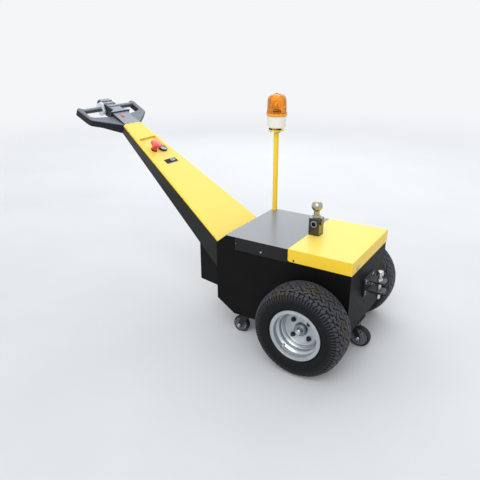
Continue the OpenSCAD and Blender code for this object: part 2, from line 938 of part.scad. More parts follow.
function pod_section(row) =
    let (half = row[1])
    [for (q = reversed(rounded([
        [half, row[3], pod_corner], [-half, row[3], pod_corner],
        [-half * pod_foot, row[2], pod_corner], [half * pod_foot, row[2], pod_corner]
    ], 3))) [row[0], q[0], q[1]]];

// Wedge that carries the panel's slope on from the arm's end to the pod's root
wedge_top = pod_h - 9.5;
wedge_root_h = (head_face(-panel_rise)[1] - arm_top_z) / cos(head_slope) + 0.6;
wedge_slope = atan((wedge_top - wedge_root_h) / -pod_root);

// Collar that flares out at the pod's root: reach, half width
collar_rows = [[pod_root, collar_half], [pod_root - 5, collar_half], [pod_root - 14, pod_half_mid + 6],
               [pod_root - 24, pod_half_mid - 2]];

module control_pod() {
    color("#74787d") placed() on_head()
        difference() {
            union() {
                skinned([for (row = pod_rows) pod_section(row)], [[for (i = [0:15]) i]]);
                across(2 * wedge_half)
                    polygon([[0, 0], [0, wedge_root_h], [pod_root, wedge_top],
                             [pod_root - 1, wedge_top], [pod_root - 1, 0]]);
                translate([0, 0, seat_clear]) linear_extrude(pod_h - 5 * seat_clear)
                    polygon(concat(collar_rows, [for (q = reversed(collar_rows)) [q[0], -q[1]]]));
                for (i = [0:rib_count - 1])
                    let (u = rib_first - i * rib_pitch)
                    translate([u, 0, pod_h - 2])
                        across(2 * (pod_half(u) - pod_corner))
                            polygon([[0, 0], [-2, 1 + rib_h], [-8, 2 + rib_h], [-14, 0]]);
            }
            translate([-grip_back, 0, -grip_drop])
                rod_y(grip_r + seat_clear, -collar_half, collar_half);
            translate([belly_seat - 1, 0, -belly_drop])
                rotate([0, -90, 0]) cylinder(r = belly_r + seat_clear, h = belly_depth);
        }
}

disc_tall = 34;
disc_wide = 25;
disc_t = 15;
disc_gap = 2;
disc_lean = 47;

module throttle_discs() {
    y0 = pod_half_mid + 1 + disc_gap;
    color("#c9ced2") placed() on_head() for (side = [-1, 1]) mirrored(side)
        translate([-grip_back, 0, -grip_drop]) rotate([0, -disc_lean, 0])
            difference() {
                union() {
                    between(y0, y0 + disc_t * 0.65)
                        polygon(octagon(disc_wide, disc_tall));
                    between(y0 + disc_t * 0.65, y0 + disc_t)
                        polygon(octagon(disc_wide - 5, disc_tall - 5));
                }
                rod_y(grip_r + seat_clear, y0 - 1, y0 + disc_t + 1);
            }
}

function octagon(a, b) =
    let (c = a * 0.5)
    [[a, b - c], [a - c, b], [c - a, b], [-a, b - c], [-a, c - b], [c - a, -b], [a - c, -b], [a, c - b]];

module belly_button() {
    color("#c8362e") placed() on_head() translate([belly_seat, 0, -belly_drop])
        rotate([0, -90, 0])
            rotate_extrude()
                polygon([
                    [0, 1], [belly_r, 1], [belly_r, belly_depth - 6],
                    [belly_face_r, belly_depth], [0, belly_depth]
                ]);
}

lamp_r = 9;
lamp_back = 63;
lamp_y = -13;

module indicator() {
    color("#d8433a") placed() on_head()
        translate([-lamp_back, lamp_y, wedge_root_h + lamp_back * tan(wedge_slope)])
            rotate([0, wedge_slope, 0])
            rotate_extrude() polygon([[0, 0.2], [lamp_r, 0.2], [lamp_r, 2], [lamp_r - 3, 6], [0, 7]]);
}

// Beacon

pole_x = lid_rear + 16;
pole_y = body_w / 2 - 13;
plate_h = 5;
foot_gap = 9;
base_h = 56;
ring_h = 20;
plate_z = pole_top;
base_z = plate_z + plate_h + foot_gap;
dome_z = base_z + base_h + ring_h * 0.4;

module beacon_pole() {
    color("#f7d23e") placed() translate([pole_x, pole_y, body_top])
        cylinder(r = pole_r, h = pole_top - body_top);
}

module beacon_plate() {
    color("#e8c437") placed() translate([pole_x, pole_y, plate_z]) {
        cylinder(r = beacon_r * 0.78, h = plate_h);
        for (a = [90:120:330])
            rotate([0, 0, a]) translate([beacon_r * 0.56, 0, plate_h]) cylinder(r = 5, h = foot_gap);
        translate([0, 0, plate_h]) cylinder(r = 14, h = foot_gap);
    }
}

module beacon_base() {
    top = base_h + ring_h * 0.4;
    outline = eased([
        [0, 0, 0], [beacon_r - 6, 0, 7], [beacon_r - 3, base_h, 0],
        [beacon_r - 6, base_h, 0], [beacon_r - 6, top, 0], [0, top, 0]
    ], 3);
    color("#e9e6df") placed() translate([pole_x, pole_y, base_z])
        rotate_extrude() polygon(outline);
}

dome_t = 3;
ring_lap = ring_h * 0.35;
knob_r = 5;

// Dome's outside from the ring up to its knob: radius, height, corner radius
dome_rows = [
    [beacon_r - 2, -ring_lap, 0], [beacon_r, -ring_lap, 1], [beacon_r, ring_h - ring_lap, 2],
    [beacon_r - 3, ring_h - ring_lap, 0], [beacon_r - 5.5, dome_h - 10, 28],
    [knob_r + 6, dome_h - 3, 0], [knob_r, dome_h - 2, 0], [knob_r - 1, dome_h, 0], [0, dome_h, 0]
];

module beacon_dome() {
    cavity = [
        [0, dome_h - 3 - dome_t, 0], [beacon_r - 8.5, dome_h - 10 - dome_t, 25],
        [beacon_r - 6 + 2 * seat_clear, ring_h, 0], [beacon_r - 6 + 2 * seat_clear, 0, 0],
        [beacon_r - 2, 0, 0]
    ];
    color("#f59a1c") placed() translate([pole_x, pole_y, dome_z])
        rotate_extrude()
            polygon(concat(eased(dome_rows, 5), eased(cavity, 5)));
}

module beacon_lamp() {
    color("#f4dca0") placed() translate([pole_x, pole_y, dome_z])
        rotate_extrude()
            polygon([
                [0, 0], [26, 0], [26, 6], [9, 8], [9, 20], [12, 24], [14, 34],
                [12, 46], [6, 54], [0, 56]
            ]);
}

// Drive wheels

// Section of the tyre's outside, a squared oval from bead to bead
function tyre_point(a) =
    let (
        mid_r = tyre_r * 0.75,
        tall = a > 0 && a < 180 ? tyre_r - mid_r : mid_r - bead_seat_r,
        power = 2 / 3
    )
    [mid_r + tall * sign(sin(a)) * pow(abs(sin(a)), power),
     tyre_w / 2 * sign(cos(a)) * pow(abs(cos(a)), power)];

bead_half = tyre_w * 0.41;

module wheel_place(side) {
    placed() mirrored(side) translate([0, wheel_y, tyre_r]) children();
}

module tyre(side) {
    outside = concat(
        [[bead_seat_r + bead_gap, bead_half], [flange_r + 1, bead_half]],
        [for (a = [-30:12:210]) tyre_point(a)],
        [[flange_r + 1, -bead_half], [bead_seat_r + bead_gap, -bead_half]]
    );
    color("#26272a") wheel_place(side) turned_y()
        polygon(sheet_outline(outside, -carcass_t, 0, len(outside) - 1));
}

// Path of the rim's tyre side from lip to lip: radius, distance from the wheel's middle, corner radius
rim_edge = bead_half + 0.3;
lip_curl = 5;
well_r = bead_seat_r - 20;
step_r = bead_seat_r - 11;
rim_rows = [
    [flange_r - 1, rim_edge + lip_curl, 0], [flange_r, rim_edge, 3], [bead_seat_r, rim_edge, 0],
    [bead_seat_r, rim_edge - 22, 8], [step_r, rim_edge - 32, 8], [step_r, rim_edge - 46, 6],
    [well_r, rim_edge - 57, 8], [well_r, -rim_edge + 45, 8], [step_r, -rim_edge + 35, 6],
    [bead_seat_r, -rim_edge + 24, 8], [bead_seat_r, -rim_edge, 0],
    [flange_r, -rim_edge, 3], [flange_r - 1, -rim_edge - lip_curl, 0]
];
disc_cup = 16;

module rim(side) {
    barrel = eased(rim_rows, 3);
    cup_r = well_r - rim_t + 0.5;
    disc = eased([[cup_r, disc_y + disc_cup, 0], [cup_r, disc_y, 9], [wheel_bore_r, disc_y, 0]], 4);
    color("#b9bec4") wheel_place(side)
        difference() {
            turned_y() union() {
                polygon(sheet_outline(barrel, -rim_t, 0, len(barrel) - 1));
                polygon(sheet_outline(disc, -rim_t, 0, len(disc) - 1));
            }
            wheel_bolt_holes();
        }
}

module wheel_bolt_holes() {
    for (i = [0:bolt_count - 1])
        rotate([0, 45 + i * 360 / bolt_count, 0])
            translate([bolt_circle_r, disc_y - hub_flange_t - 1, 0])
                rotate([-90, 0, 0]) cylinder(r = bolt_hole_r, h = hub_flange_t + rim_t + 2);
}

hub_washer_r = 17;
hub_nut_r = 15;
hub_nut_h = 10;

module hub(side) {
    shaft_end = drive_unit_y - wheel_y + 4;
    nose = disc_y + rim_t + hub_nose_len;
    color("#9a9da1") wheel_place(side)
        difference() {
            union() {
                turned_y()
                    polygon([
                        [0, shaft_end], [shaft_r, shaft_end], [shaft_r, disc_y - hub_flange_t],
                        [bolt_circle_r + 14, disc_y - hub_flange_t], [bolt_circle_r + 14, disc_y],
                        [hub_nose_r, disc_y], [hub_nose_r, nose - 2], [hub_nose_r - 2, nose],
                        [hub_washer_r, nose], [hub_washer_r, nose + 2], [0, nose + 2]
                    ]);
                rod_y(hub_nut_r, nose + 1, nose + hub_nut_h, $fn = 6);
            }
            wheel_bolt_holes();
        }
}

// Castors

// Each castor: pivot x, pivot y, mounting height, wheel radius, trail, way it points
front_castor = [front_reach - front_castor_in, 0, nose_z - castor_bracket_h, front_castor_r, 38, 0];
right_castor = [rear_x + rear_castor_ahead, rear_castor_in - body_w / 2, body_floor, rear_castor_r, 32, 180];
left_castor = [rear_x + rear_castor_ahead, body_w / 2 - rear_castor_in, body_floor, rear_castor_r, 32, 180];

castor_plate_t = 4;
castor_side_t = 3;
race_gap = 0.6;

function castor_plate_half(c) = c[3] * 0.5 + 17;
function race_r(c) = c[3] * 0.4 + 10;
function crown_z(c) = c[2] - castor_plate_t - c[3] * 0.16;
function fork_half(c) = c[3] * 0.17 + 13;

module castor_bracket() {
    half = castor_plate_half(front_castor);
    x = front_castor[0];
    z0 = front_castor[2];
    color("#232426") placed()
        difference() {
            translate([x - half, -half, z0]) cube([2 * half, 2 * half, castor_bracket_h]);
            translate([x - half - 1, -half + plate_t, z0 + plate_t])
                cube([2 * half + 2, 2 * half - 2 * plate_t, castor_bracket_h]);
        }
}

module castor_mounts() {
    color("#8f9397") placed() for (c = [front_castor, right_castor, left_castor]) {
        half = castor_plate_half(c);
        translate([c[0], c[1], c[2] - castor_plate_t]) linear_extrude(castor_plate_t)
            polygon(rounded([[-half, -half, 6], [half, -half, 6], [half, half, 6], [-half, half, 6]]));
        translate([c[0], c[1], crown_z(c) + race_gap])
            cylinder(r = race_r(c), h = c[2] - castor_plate_t - crown_z(c) - race_gap);
        translate([c[0], c[1], crown_z(c) - 2]) cylinder(r = 5, h = 4);
    }
}

// Fork: crown disc with two cheeks that sweep to the wheel's axle
module castor_fork(c) {
    w = fork_half(c);
    trail = c[4];
    crown_t = 4;
    color("#1d1e20") placed() translate([c[0], c[1], 0]) rotate([0, 0, c[5]]) {
        difference() {
            translate([0, 0, crown_z(c) - crown_t]) union() {
                cylinder(r = race_r(c), h = crown_t);
                translate([-w, -w - castor_side_t, 0]) cube([2 * w, 2 * w + 2 * castor_side_t, crown_t]);
            }
            translate([0, 0, crown_z(c) - crown_t - 1]) cylinder(r = 5 + run_clear, h = crown_t + 2);
        }
        for (side = [-1, 1]) mirrored(side)
            between(w, w + castor_side_t) {
                polygon([
                    [-w, crown_z(c)], [w, crown_z(c)],
                    [trail + 9, c[3] + 3], [trail - 9, c[3] - 6]
                ]);
                translate([trail, c[3]]) circle(r = 11);
            }
        translate([trail, 0, c[3]]) {
            rod_y(axle_r, -w - castor_side_t - 5, w + castor_side_t + 5);
            for (side = [-1, 1]) mirrored(side)
                rod_y(8, w + castor_side_t, w + castor_side_t + 5);
        }
    }
}

axle_r = 5;
castor_holes = 8;

function castor_half(c) = fork_half(c) - 5.3;

module castor_wheel_place(c) {
    placed() translate([c[0], c[1], c[3]]) rotate([0, 0, c[5]]) translate([c[4], 0, 0]) children();
}

module castor_tyre(c) {
    half = castor_half(c);
    r = c[3];
    color("#2b2b2d") castor_wheel_place(c) turned_y()
        polygon([
            [r * 0.78, -half + 2], [r * 0.9, -half], [r * 0.97, -half * 0.7], [r, -half * 0.3],
            [r, half * 0.3], [r * 0.97, half * 0.7], [r * 0.9, half], [r * 0.78, half - 2]
        ]);
}

module castor_centre(c) {
    half = castor_half(c);
    r = c[3] * 0.78;
    boss = fork_half(c) - run_clear;
    web = (axle_r + r) / 2;
    color("#d5d8dc") castor_wheel_place(c)
        difference() {
            turned_y()
                polygon([
                    [axle_r + run_clear, -boss], [axle_r + 6, -boss], [axle_r + 7, -half * 0.4],
                    [r - 7, -half * 0.4], [r - 4, -half + 2], [r, -half + 2],
                    [r, half - 2], [r - 4, half - 2], [r - 7, half * 0.4],
                    [axle_r + 7, half * 0.4], [axle_r + 6, boss], [axle_r + run_clear, boss]
                ]);
            for (i = [0:castor_holes - 1])
                rotate([0, i * 360 / castor_holes, 0])
                    translate([web, 0, 0]) rod_y(r * 0.13, -half, half);
        }
}

side_plate(-1);  // side_plate_right
side_plate(1);  // side_plate_left
rear_plate();
floor_pan();
front_plate();
battery_block();
drive_unit();
axle_tubes();
lid();
cover();
cover_catch();
ball_post();
post_bush();
tow_ball();
hitch_bracket();
hitch_pin();
arm_channel();
arm_foot();
arm_panel();
switch_plate();
stop_collar();
stop_button();
key_switch();
meter();
tiller_head();
grip_bar();
control_pod();
throttle_discs();
belly_button();
indicator();
beacon_pole();
beacon_plate();
beacon_base();
beacon_dome();
beacon_lamp();
castor_bracket();
castor_mounts();
tyre(-1);  // tyre_right
rim(-1);  // rim_right
hub(-1);  // hub_right
tyre(1);  // tyre_left
rim(1);  // rim_left
hub(1);  // hub_left
castor_fork(front_castor);  // castor_fork_front
castor_tyre(front_castor);  // castor_tyre_front
castor_centre(front_castor);  // castor_centre_front
castor_fork(right_castor);  // castor_fork_right
castor_tyre(right_castor);  // castor_tyre_right
castor_centre(right_castor);  // castor_centre_right
castor_fork(left_castor);  // castor_fork_left
castor_tyre(left_castor);  // castor_tyre_left
castor_centre(left_castor);  // castor_centre_left
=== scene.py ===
import json
import math
import bmesh
import bpy
import numpy as np
from mathutils import Matrix, Vector


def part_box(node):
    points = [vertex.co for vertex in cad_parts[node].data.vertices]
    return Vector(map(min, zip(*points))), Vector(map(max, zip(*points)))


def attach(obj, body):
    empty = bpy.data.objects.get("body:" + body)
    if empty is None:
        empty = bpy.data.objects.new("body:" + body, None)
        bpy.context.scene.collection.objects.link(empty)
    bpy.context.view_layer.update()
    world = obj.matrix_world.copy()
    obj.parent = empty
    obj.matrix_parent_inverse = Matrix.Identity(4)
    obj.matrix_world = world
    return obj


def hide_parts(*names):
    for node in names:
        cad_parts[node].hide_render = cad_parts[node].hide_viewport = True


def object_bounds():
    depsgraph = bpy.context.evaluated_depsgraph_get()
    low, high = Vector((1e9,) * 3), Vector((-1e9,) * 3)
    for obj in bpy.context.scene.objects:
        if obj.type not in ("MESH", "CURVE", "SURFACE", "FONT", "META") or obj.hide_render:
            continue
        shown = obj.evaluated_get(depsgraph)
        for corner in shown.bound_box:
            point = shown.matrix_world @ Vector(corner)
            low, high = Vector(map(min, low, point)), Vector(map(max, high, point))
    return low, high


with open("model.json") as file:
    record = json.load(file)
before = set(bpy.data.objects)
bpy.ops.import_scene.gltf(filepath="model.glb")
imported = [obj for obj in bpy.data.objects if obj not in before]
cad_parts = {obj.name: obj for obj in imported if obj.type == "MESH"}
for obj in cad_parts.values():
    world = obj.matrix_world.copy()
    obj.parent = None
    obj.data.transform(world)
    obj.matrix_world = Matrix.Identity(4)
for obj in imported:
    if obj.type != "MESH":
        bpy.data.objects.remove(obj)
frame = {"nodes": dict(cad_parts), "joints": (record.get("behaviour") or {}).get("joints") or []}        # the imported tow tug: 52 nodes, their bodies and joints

cadLow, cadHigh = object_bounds()
nodes = frame["nodes"]
jointPlace = {j["name"]: Vector(j["pos_m"]) for j in frame["joints"] if j.get("pos_m")}

mm = 0.001
sides = {"right": -1, "left": 1}
castors = ("front", "right", "left")


# Small helpers

# sRGB hex to the linear colour that shaders work in
def linear(hexText):
    srgb = [int(hexText[i:i + 2], 16) / 255 for i in (1, 3, 5)]
    return [c / 12.92 if c <= 0.04045 else ((c + 0.055) / 1.055) ** 2.4 for c in srgb] + [1.0]


# Values of a node: a socket is linked to the input, any other value is set on the attribute or input
def setNode(tree, node, values):
    for key, value in values.items():
        if isinstance(value, bpy.types.NodeSocket):
            tree.links.new(value, node.inputs[key])
        elif isinstance(key, str) and hasattr(node, key):
            setattr(node, key, value)
        else:
            node.inputs[key].default_value = value


# One new node with its settings and links; gives the output that is asked for, else the first
def addNode(tree, kind, values, output=0):
    node = tree.nodes.new("ShaderNode" + kind)
    setNode(tree, node, values)
    return node.outputs[output]


# Quads of a grid of points, row by row; a closed direction joins its last line to its first
def gridQuads(rows, columns, closeRows=False, closeColumns=False):
    r = np.arange(rows if closeRows else rows - 1)
    c = np.arange(columns if closeColumns else columns - 1)
    i, j = np.meshgrid(r, c, indexing="ij")
    down, across = (i + 1) % rows, (j + 1) % columns
    return np.stack([i * columns + j, down * columns + j, down * columns + across, i * columns + across],
                    -1).reshape(-1, 4)


# The same quads for many copies of one set of points
def repeatQuads(quads, pointCount, copies):
    return (quads[None] + (np.arange(copies) * pointCount)[:, None, None]).reshape(-1, 4)


# Mesh object from points and quads: doubles merged, faces turned outwards, edges over the angle kept sharp
def makePiece(name, points, quads, material, body, slot, sharpAngle=32, relief=None):
    mesh = bpy.data.meshes.new(name)
    points = np.asarray(points, float).reshape(-1, 3)
    mesh.vertices.add(len(points))
    mesh.vertices.foreach_set("co", points.ravel())
    mesh.loops.add(quads.size)
    mesh.loops.foreach_set("vertex_index", quads.ravel())
    mesh.polygons.add(len(quads))
    mesh.polygons.foreach_set("loop_start", np.arange(0, quads.size, 4))
    if relief is not None:
        mesh.attributes.new("relief", "FLOAT", "POINT").data.foreach_set("value", relief)
    mesh.update(calc_edges=True)
    work = bmesh.new()
    work.from_mesh(mesh)
    bmesh.ops.remove_doubles(work, verts=work.verts, dist=2e-6)
    bmesh.ops.dissolve_degenerate(work, dist=1e-6, edges=work.edges)
    bmesh.ops.recalc_face_normals(work, faces=work.faces)
    work.to_mesh(mesh)
    work.free()
    mesh.shade_smooth()
    mesh.set_sharp_from_angle(angle=math.radians(sharpAngle))
    mesh.materials.append(material)
    piece = bpy.data.objects.new(name, mesh)
    bpy.context.scene.collection.objects.link(piece)
    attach(piece, body)
    return piece


# Points given about +Z, turned so that +Z lies along the axis and moved to the origin
def aimed(points, origin, axis, spin=0.0):
    turn = Vector((0, 0, 1)).rotation_difference(Vector(axis).normalized()).to_matrix()
    turn = np.array(turn @ Matrix.Rotation(math.radians(spin), 3, "Z"))
    return points.reshape(-1, 3) @ turn.T + np.array(origin, float)


# Copies of one grid at places given as (origin, axis) or (origin, axis, spin)
def placed(points, quads, places):
    flat = points.reshape(-1, 3)
    copies = [aimed(flat, *place) for place in places]
    return np.concatenate(copies), repeatQuads(quads, len(flat), len(places))


# Surface turned about +Z: radius r and height h of the profile give (r cos t, r sin t, h)
def turnedGrid(profile, around=48):
    r, h = np.array(profile, float).T
    t = np.linspace(0, 2 * math.pi, around, endpoint=False)
    points = np.stack([np.outer(r, np.cos(t)), np.outer(r, np.sin(t)), np.outer(h, np.ones(around))], -1)
    return points, gridQuads(len(r), around, closeColumns=True)


# Several grids as one set of points and quads
def joined(*grids):
    offset, points, quads = 0, [], []
    for p, q in grids:
        p = p.reshape(-1, 3)
        points.append(p)
        quads.append(q + offset)
        offset += len(p)
    return np.concatenate(points), np.concatenate(quads)


# Hexagon head turned about +Z: the flats lie at a / cos(t), and the chamfer cone cuts them at the top
def hexGrid(flats, height, base=0.0, chamfer=0.12, around=36):
    t = np.linspace(0, 2 * math.pi, around, endpoint=False)
    flatRadius = flats / 2 / np.cos((t + math.pi / 6) % (math.pi / 3) - math.pi / 6)
    top, cut, lower = [base + height * (1 - k * chamfer) for k in (0, 1, 2)]
    rows = []
    profile = ((0, 0, base), (1, 2, base), (1, 2, lower), (1, 1.02, cut), (0.9, 0.93, top), (0, 0, top))
    for share, cone, z in profile:
        radius = np.minimum(flatRadius * share, flats / 2 * cone)
        rows.append(np.stack([radius * np.cos(t), radius * np.sin(t), np.full(around, z)], -1))
    return np.stack(rows), gridQuads(len(rows), around, closeColumns=True)


# Round section of changing radius carried along a path and closed at both ends:
# centre + radius (cos t n + sin t b), where n and b stand square to the path
def sweptGrid(path, radii, around=8):
    ahead = np.roll(path, -1, 0) - np.roll(path, 1, 0)
    ahead[0], ahead[-1] = path[1] - path[0], path[-1] - path[-2]
    ahead /= np.linalg.norm(ahead, axis=1)[:, None]
    up = np.where(np.abs(ahead[:, 2:3]) > 0.9, [[1.0, 0, 0]], [[0, 0, 1.0]])
    n = np.cross(ahead, up)
    n /= np.linalg.norm(n, axis=1)[:, None]
    b = np.cross(ahead, n)
    t = np.linspace(0, 2 * math.pi, around, endpoint=False)
    ring = np.cos(t)[None, :, None] * n[:, None] + np.sin(t)[None, :, None] * b[:, None]
    points = path[:, None] + radii[:, None, None] * ring
    points = np.concatenate([np.repeat(path[:1, None], around, 1), points,
                             np.repeat(path[-1:, None], around, 1)])
    return points, gridQuads(len(points), around, closeColumns=True)


# Materials: each starts from what the real finish is

# A material whose shader holds its constants, its object coordinates, and one noise on them for each
# (size in mm, detail)
def startMaterial(name, constants, noises):
    material = bpy.data.materials.new(name)
    material.use_nodes = True
    tree = material.node_tree
    shader = tree.nodes["Principled BSDF"]
    setNode(tree, shader, constants)
    coords = addNode(tree, "TexCoord", {}, "Object")
    noise = [addNode(tree, "TexNoise", {"Vector": coords, "Scale": 1000 / size, "Detail": detail,
                                        "Roughness": 0.55}) for size, detail in noises]
    return material, tree, shader, coords, noise


# Colour in layers: each (mask, colour) covers what lies under it as far as its mask goes
def layered(tree, colour, layers):
    for mask, cover in layers:
        colour = addNode(tree, "Mix", {"data_type": "RGBA", 0: mask, 6: colour, 7: cover}, 2)
    return colour


# Mask that is 1 on edges tighter than the radius: the rounded normal turns away from the true one there
def edgeMask(tree, radiusMm):
    rounded = addNode(tree, "Bevel", {"samples": 4, "Radius": radiusMm * mm})
    true = addNode(tree, "NewGeometry", {}, "Normal")
    dot = addNode(tree, "VectorMath", {"operation": "DOT_PRODUCT", 0: rounded, 1: true}, "Value")
    return addNode(tree, "MapRange", {"Value": dot, "From Min": 0.98, "From Max": 0.75})


# Mask that is 1 on faces that look up, where a paler colour is laid as a painted sheen
def topSheenMask(tree, low, high):
    normal = addNode(tree, "NewGeometry", {}, "Normal")
    height = addNode(tree, "SeparateXYZ", {0: normal}, "Z")
    return addNode(tree, "MapRange", {"Value": height, "From Min": low, "From Max": high})


# Height to the shader's normal, over edges that are rounded by the given radius
def bumpFrom(tree, shader, height, depthMm, strength, edgeMm=0.0):
    bump = {"Height": height, "Strength": strength, "Distance": depthMm * mm}
    if edgeMm:
        bump["Normal"] = addNode(tree, "Bevel", {"samples": 4, "Radius": edgeMm * mm})
    setNode(tree, shader, {"Normal": addNode(tree, "Bump", bump)})


# Powder coat on sheet steel, sprayed and baked: orange peel about 2 mm across, edges drawn thin, faint dust;
# where they are given, a painted sheen on faces that look up and a paler colour that comes in over two
# heights
def powderCoat(name, colour, worn, dust, roughness, coat=0.0, edgeMm=1.2, peelMm=2.2, peelDepth=0.05,
               specular=0.5, film=None, fade=None):
    constants = {"Base Color": linear(colour), "Roughness": roughness, "Coat Weight": coat,
                 "Coat Roughness": 0.18, "Specular IOR Level": specular}
    noises = ((140, 5), (9, 4), (peelMm, 2))
    material, tree, shader, coords, (broad, fine, peel) = startMaterial(name, constants, noises)
    dusty = addNode(tree, "MapRange", {"Value": broad, "From Min": 0.35, "From Max": 0.75, "To Max": 0.35})
    layers = [(dusty, linear(dust))]
    # painted sheen: the film colour is laid on faces that look up
    if film:
        layers.append((topSheenMask(tree, 0.25, 0.8), linear(film)))
    if fade:
        height = addNode(tree, "SeparateXYZ", {0: coords}, "Z")
        faded = addNode(tree, "MapRange", {"Value": height, "From Min": fade[1], "From Max": fade[2]})
        layers.append((faded, linear(fade[0])))
    thin = addNode(tree, "MapRange", {"Value": fine, "From Min": 0.3, "From Max": 0.7,
                                      "To Min": 0.25, "To Max": 0.9})
    edge = addNode(tree, "Math", {"operation": "MULTIPLY", 0: edgeMask(tree, edgeMm), 1: thin})
    layers.append((edge, linear(worn)))
    gloss = addNode(tree, "MapRange", {"Value": fine, "From Min": 0.3, "From Max": 0.7,
                                       "To Min": roughness - 0.05, "To Max": roughness + 0.06})
    setNode(tree, shader, {"Base Color": layered(tree, linear(colour), layers), "Roughness": gloss})
    bumpFrom(tree, shader, peel, peelDepth, 0.8, edgeMm)
    return material


# Moulded plastic: spark-eroded grain about 0.9 mm across, edges rubbed paler, and where given
# a paler colour on faces that look up as a painted sheen
def mouldedPlastic(name, colour, rubbed, roughness=0.55, grainMm=0.9, grainDepth=0.05, edgeMm=1.5, coat=0.0,
                   specular=0.5, paintedTopSheen=None):
    constants = {"Base Color": linear(colour), "Roughness": roughness, "Coat Weight": coat,
                 "Coat Roughness": 0.12, "Specular IOR Level": specular}
    material, tree, shader, coords, (blotch,) = startMaterial(name, constants, ((30, 4),))
    pale = addNode(tree, "MapRange", {"Value": blotch, "From Min": 0.3, "From Max": 0.7, "To Max": 0.4})
    layers = [(pale, linear(rubbed))]
    # painted sheen: a paler colour on faces that look up
    if paintedTopSheen:
        layers.append((topSheenMask(tree, 0.15, 0.75), linear(paintedTopSheen)))
    layers.append((edgeMask(tree, edgeMm), linear(rubbed)))
    gloss = addNode(tree, "MapRange", {"Value": blotch, "From Min": 0.3, "From Max": 0.7,
                                       "To Min": roughness - 0.07, "To Max": roughness + 0.07})
    setNode(tree, shader, {"Base Color": layered(tree, linear(colour), layers), "Roughness": gloss})
    grain = addNode(tree, "TexVoronoi", {"Vector": coords, "Scale": 1000 / grainMm}, "Distance")
    bumpFrom(tree, shader, grain, grainDepth, 0.7, edgeMm)
    return material


# Steel turned, plated or polished: smears about 12 mm across, fine pits, and painted shade inside a bore
# along Y where the x, z and radius of the bore are given
def steel(name, colour, tint, roughness, smearMm=12, pitDepth=0.02, edgeMm=0.6, smearGloss=0.08,
          metallic=1.0, bore=None):
    constants = {"Base Color": linear(colour), "Metallic": metallic, "Roughness": roughness}
    material, tree, shader, coords, (smear, pits) = startMaterial(name, constants, ((smearMm, 4), (1.2, 2)))
    layers = [(addNode(tree, "MapRange", {"Value": smear, "From Min": 0.3, "From Max": 0.7}), linear(tint))]
    # painted shade: inside the bore the steel is coloured near black
    if bore:
        x, z, radius = bore
        away = addNode(tree, "Mapping", {"Vector": coords, "Location": (-x, 0, -z), "Scale": (1, 0, 1)})
        span = addNode(tree, "VectorMath", {"operation": "LENGTH", 0: away}, "Value")
        boreShadeMask = addNode(tree, "MapRange", {"Value": span, "From Min": radius, "From Max": radius + 0.4 * mm,
                                            "To Min": 1.0, "To Max": 0.0})
        layers.append((boreShadeMask, linear("#14110d")))
    gloss = addNode(tree, "MapRange", {"Value": smear, "From Min": 0.3, "From Max": 0.7,
                                       "To Min": max(roughness - smearGloss, 0.02),
                                       "To Max": roughness + smearGloss})
    setNode(tree, shader, {"Base Color": layered(tree, linear(colour), layers), "Roughness": gloss})
    bumpFrom(tree, shader, pits, pitDepth, 0.5, edgeMm)
    return material


# Tread and sidewall rubber, cured in a steel mould: the mesh's own relief is 0 in grooves, about 0.2 on the
# plain wall and 1 on top of the blocks. The grooves are painted darker than the wall as shade; the raised
# tops are painted grey, partly rubbed wear and partly a painted highlight, with a little brown dust
def turfRubber(name):
    constants = {"Base Color": linear("#0e0e10"), "Roughness": 0.6, "Specular IOR Level": 0.18}
    noises = ((38, 5), (70, 3), (1.4, 3))
    material, tree, shader, _, (patch, dust, grain) = startMaterial(name, constants, noises)
    relief = addNode(tree, "Attribute", {"attribute_name": "relief"}, "Fac")
    wall = addNode(tree, "MapRange", {"Value": relief, "From Max": 0.2})
    # painted shade: where the relief is 0, in grooves and between ribs, the rubber is darker than the plain
    # wall
    grooveShadeAndWall = layered(tree, linear("#040405"), [(wall, linear("#0f0f11"))])
    dusty = addNode(tree, "MapRange", {"Value": dust, "From Min": 0.5, "From Max": 0.68})
    # raised tops: a grey that is partly rubbed wear and partly a painted highlight, with patches of brown
    # dust
    rubbed = layered(tree, linear("#44454d"), [(dusty, linear("#4a4337"))])
    raisedWearAndHighlight = addNode(tree, "MapRange", {"Value": relief, "From Min": 0.2})
    uneven = addNode(tree, "MapRange", {"Value": patch, "From Min": 0.3, "From Max": 0.7, "To Min": 0.6})
    top = addNode(tree, "Math", {"operation": "MULTIPLY", 0: raisedWearAndHighlight, 1: uneven})
    gloss = addNode(tree, "MapRange", {"Value": relief, "To Min": 0.66, "To Max": 0.5})
    setNode(tree, shader, {"Base Color": layered(tree, grooveShadeAndWall, [(top, rubbed)]), "Roughness": gloss})
    bumpFrom(tree, shader, grain, 0.06, 0.6)
    return material


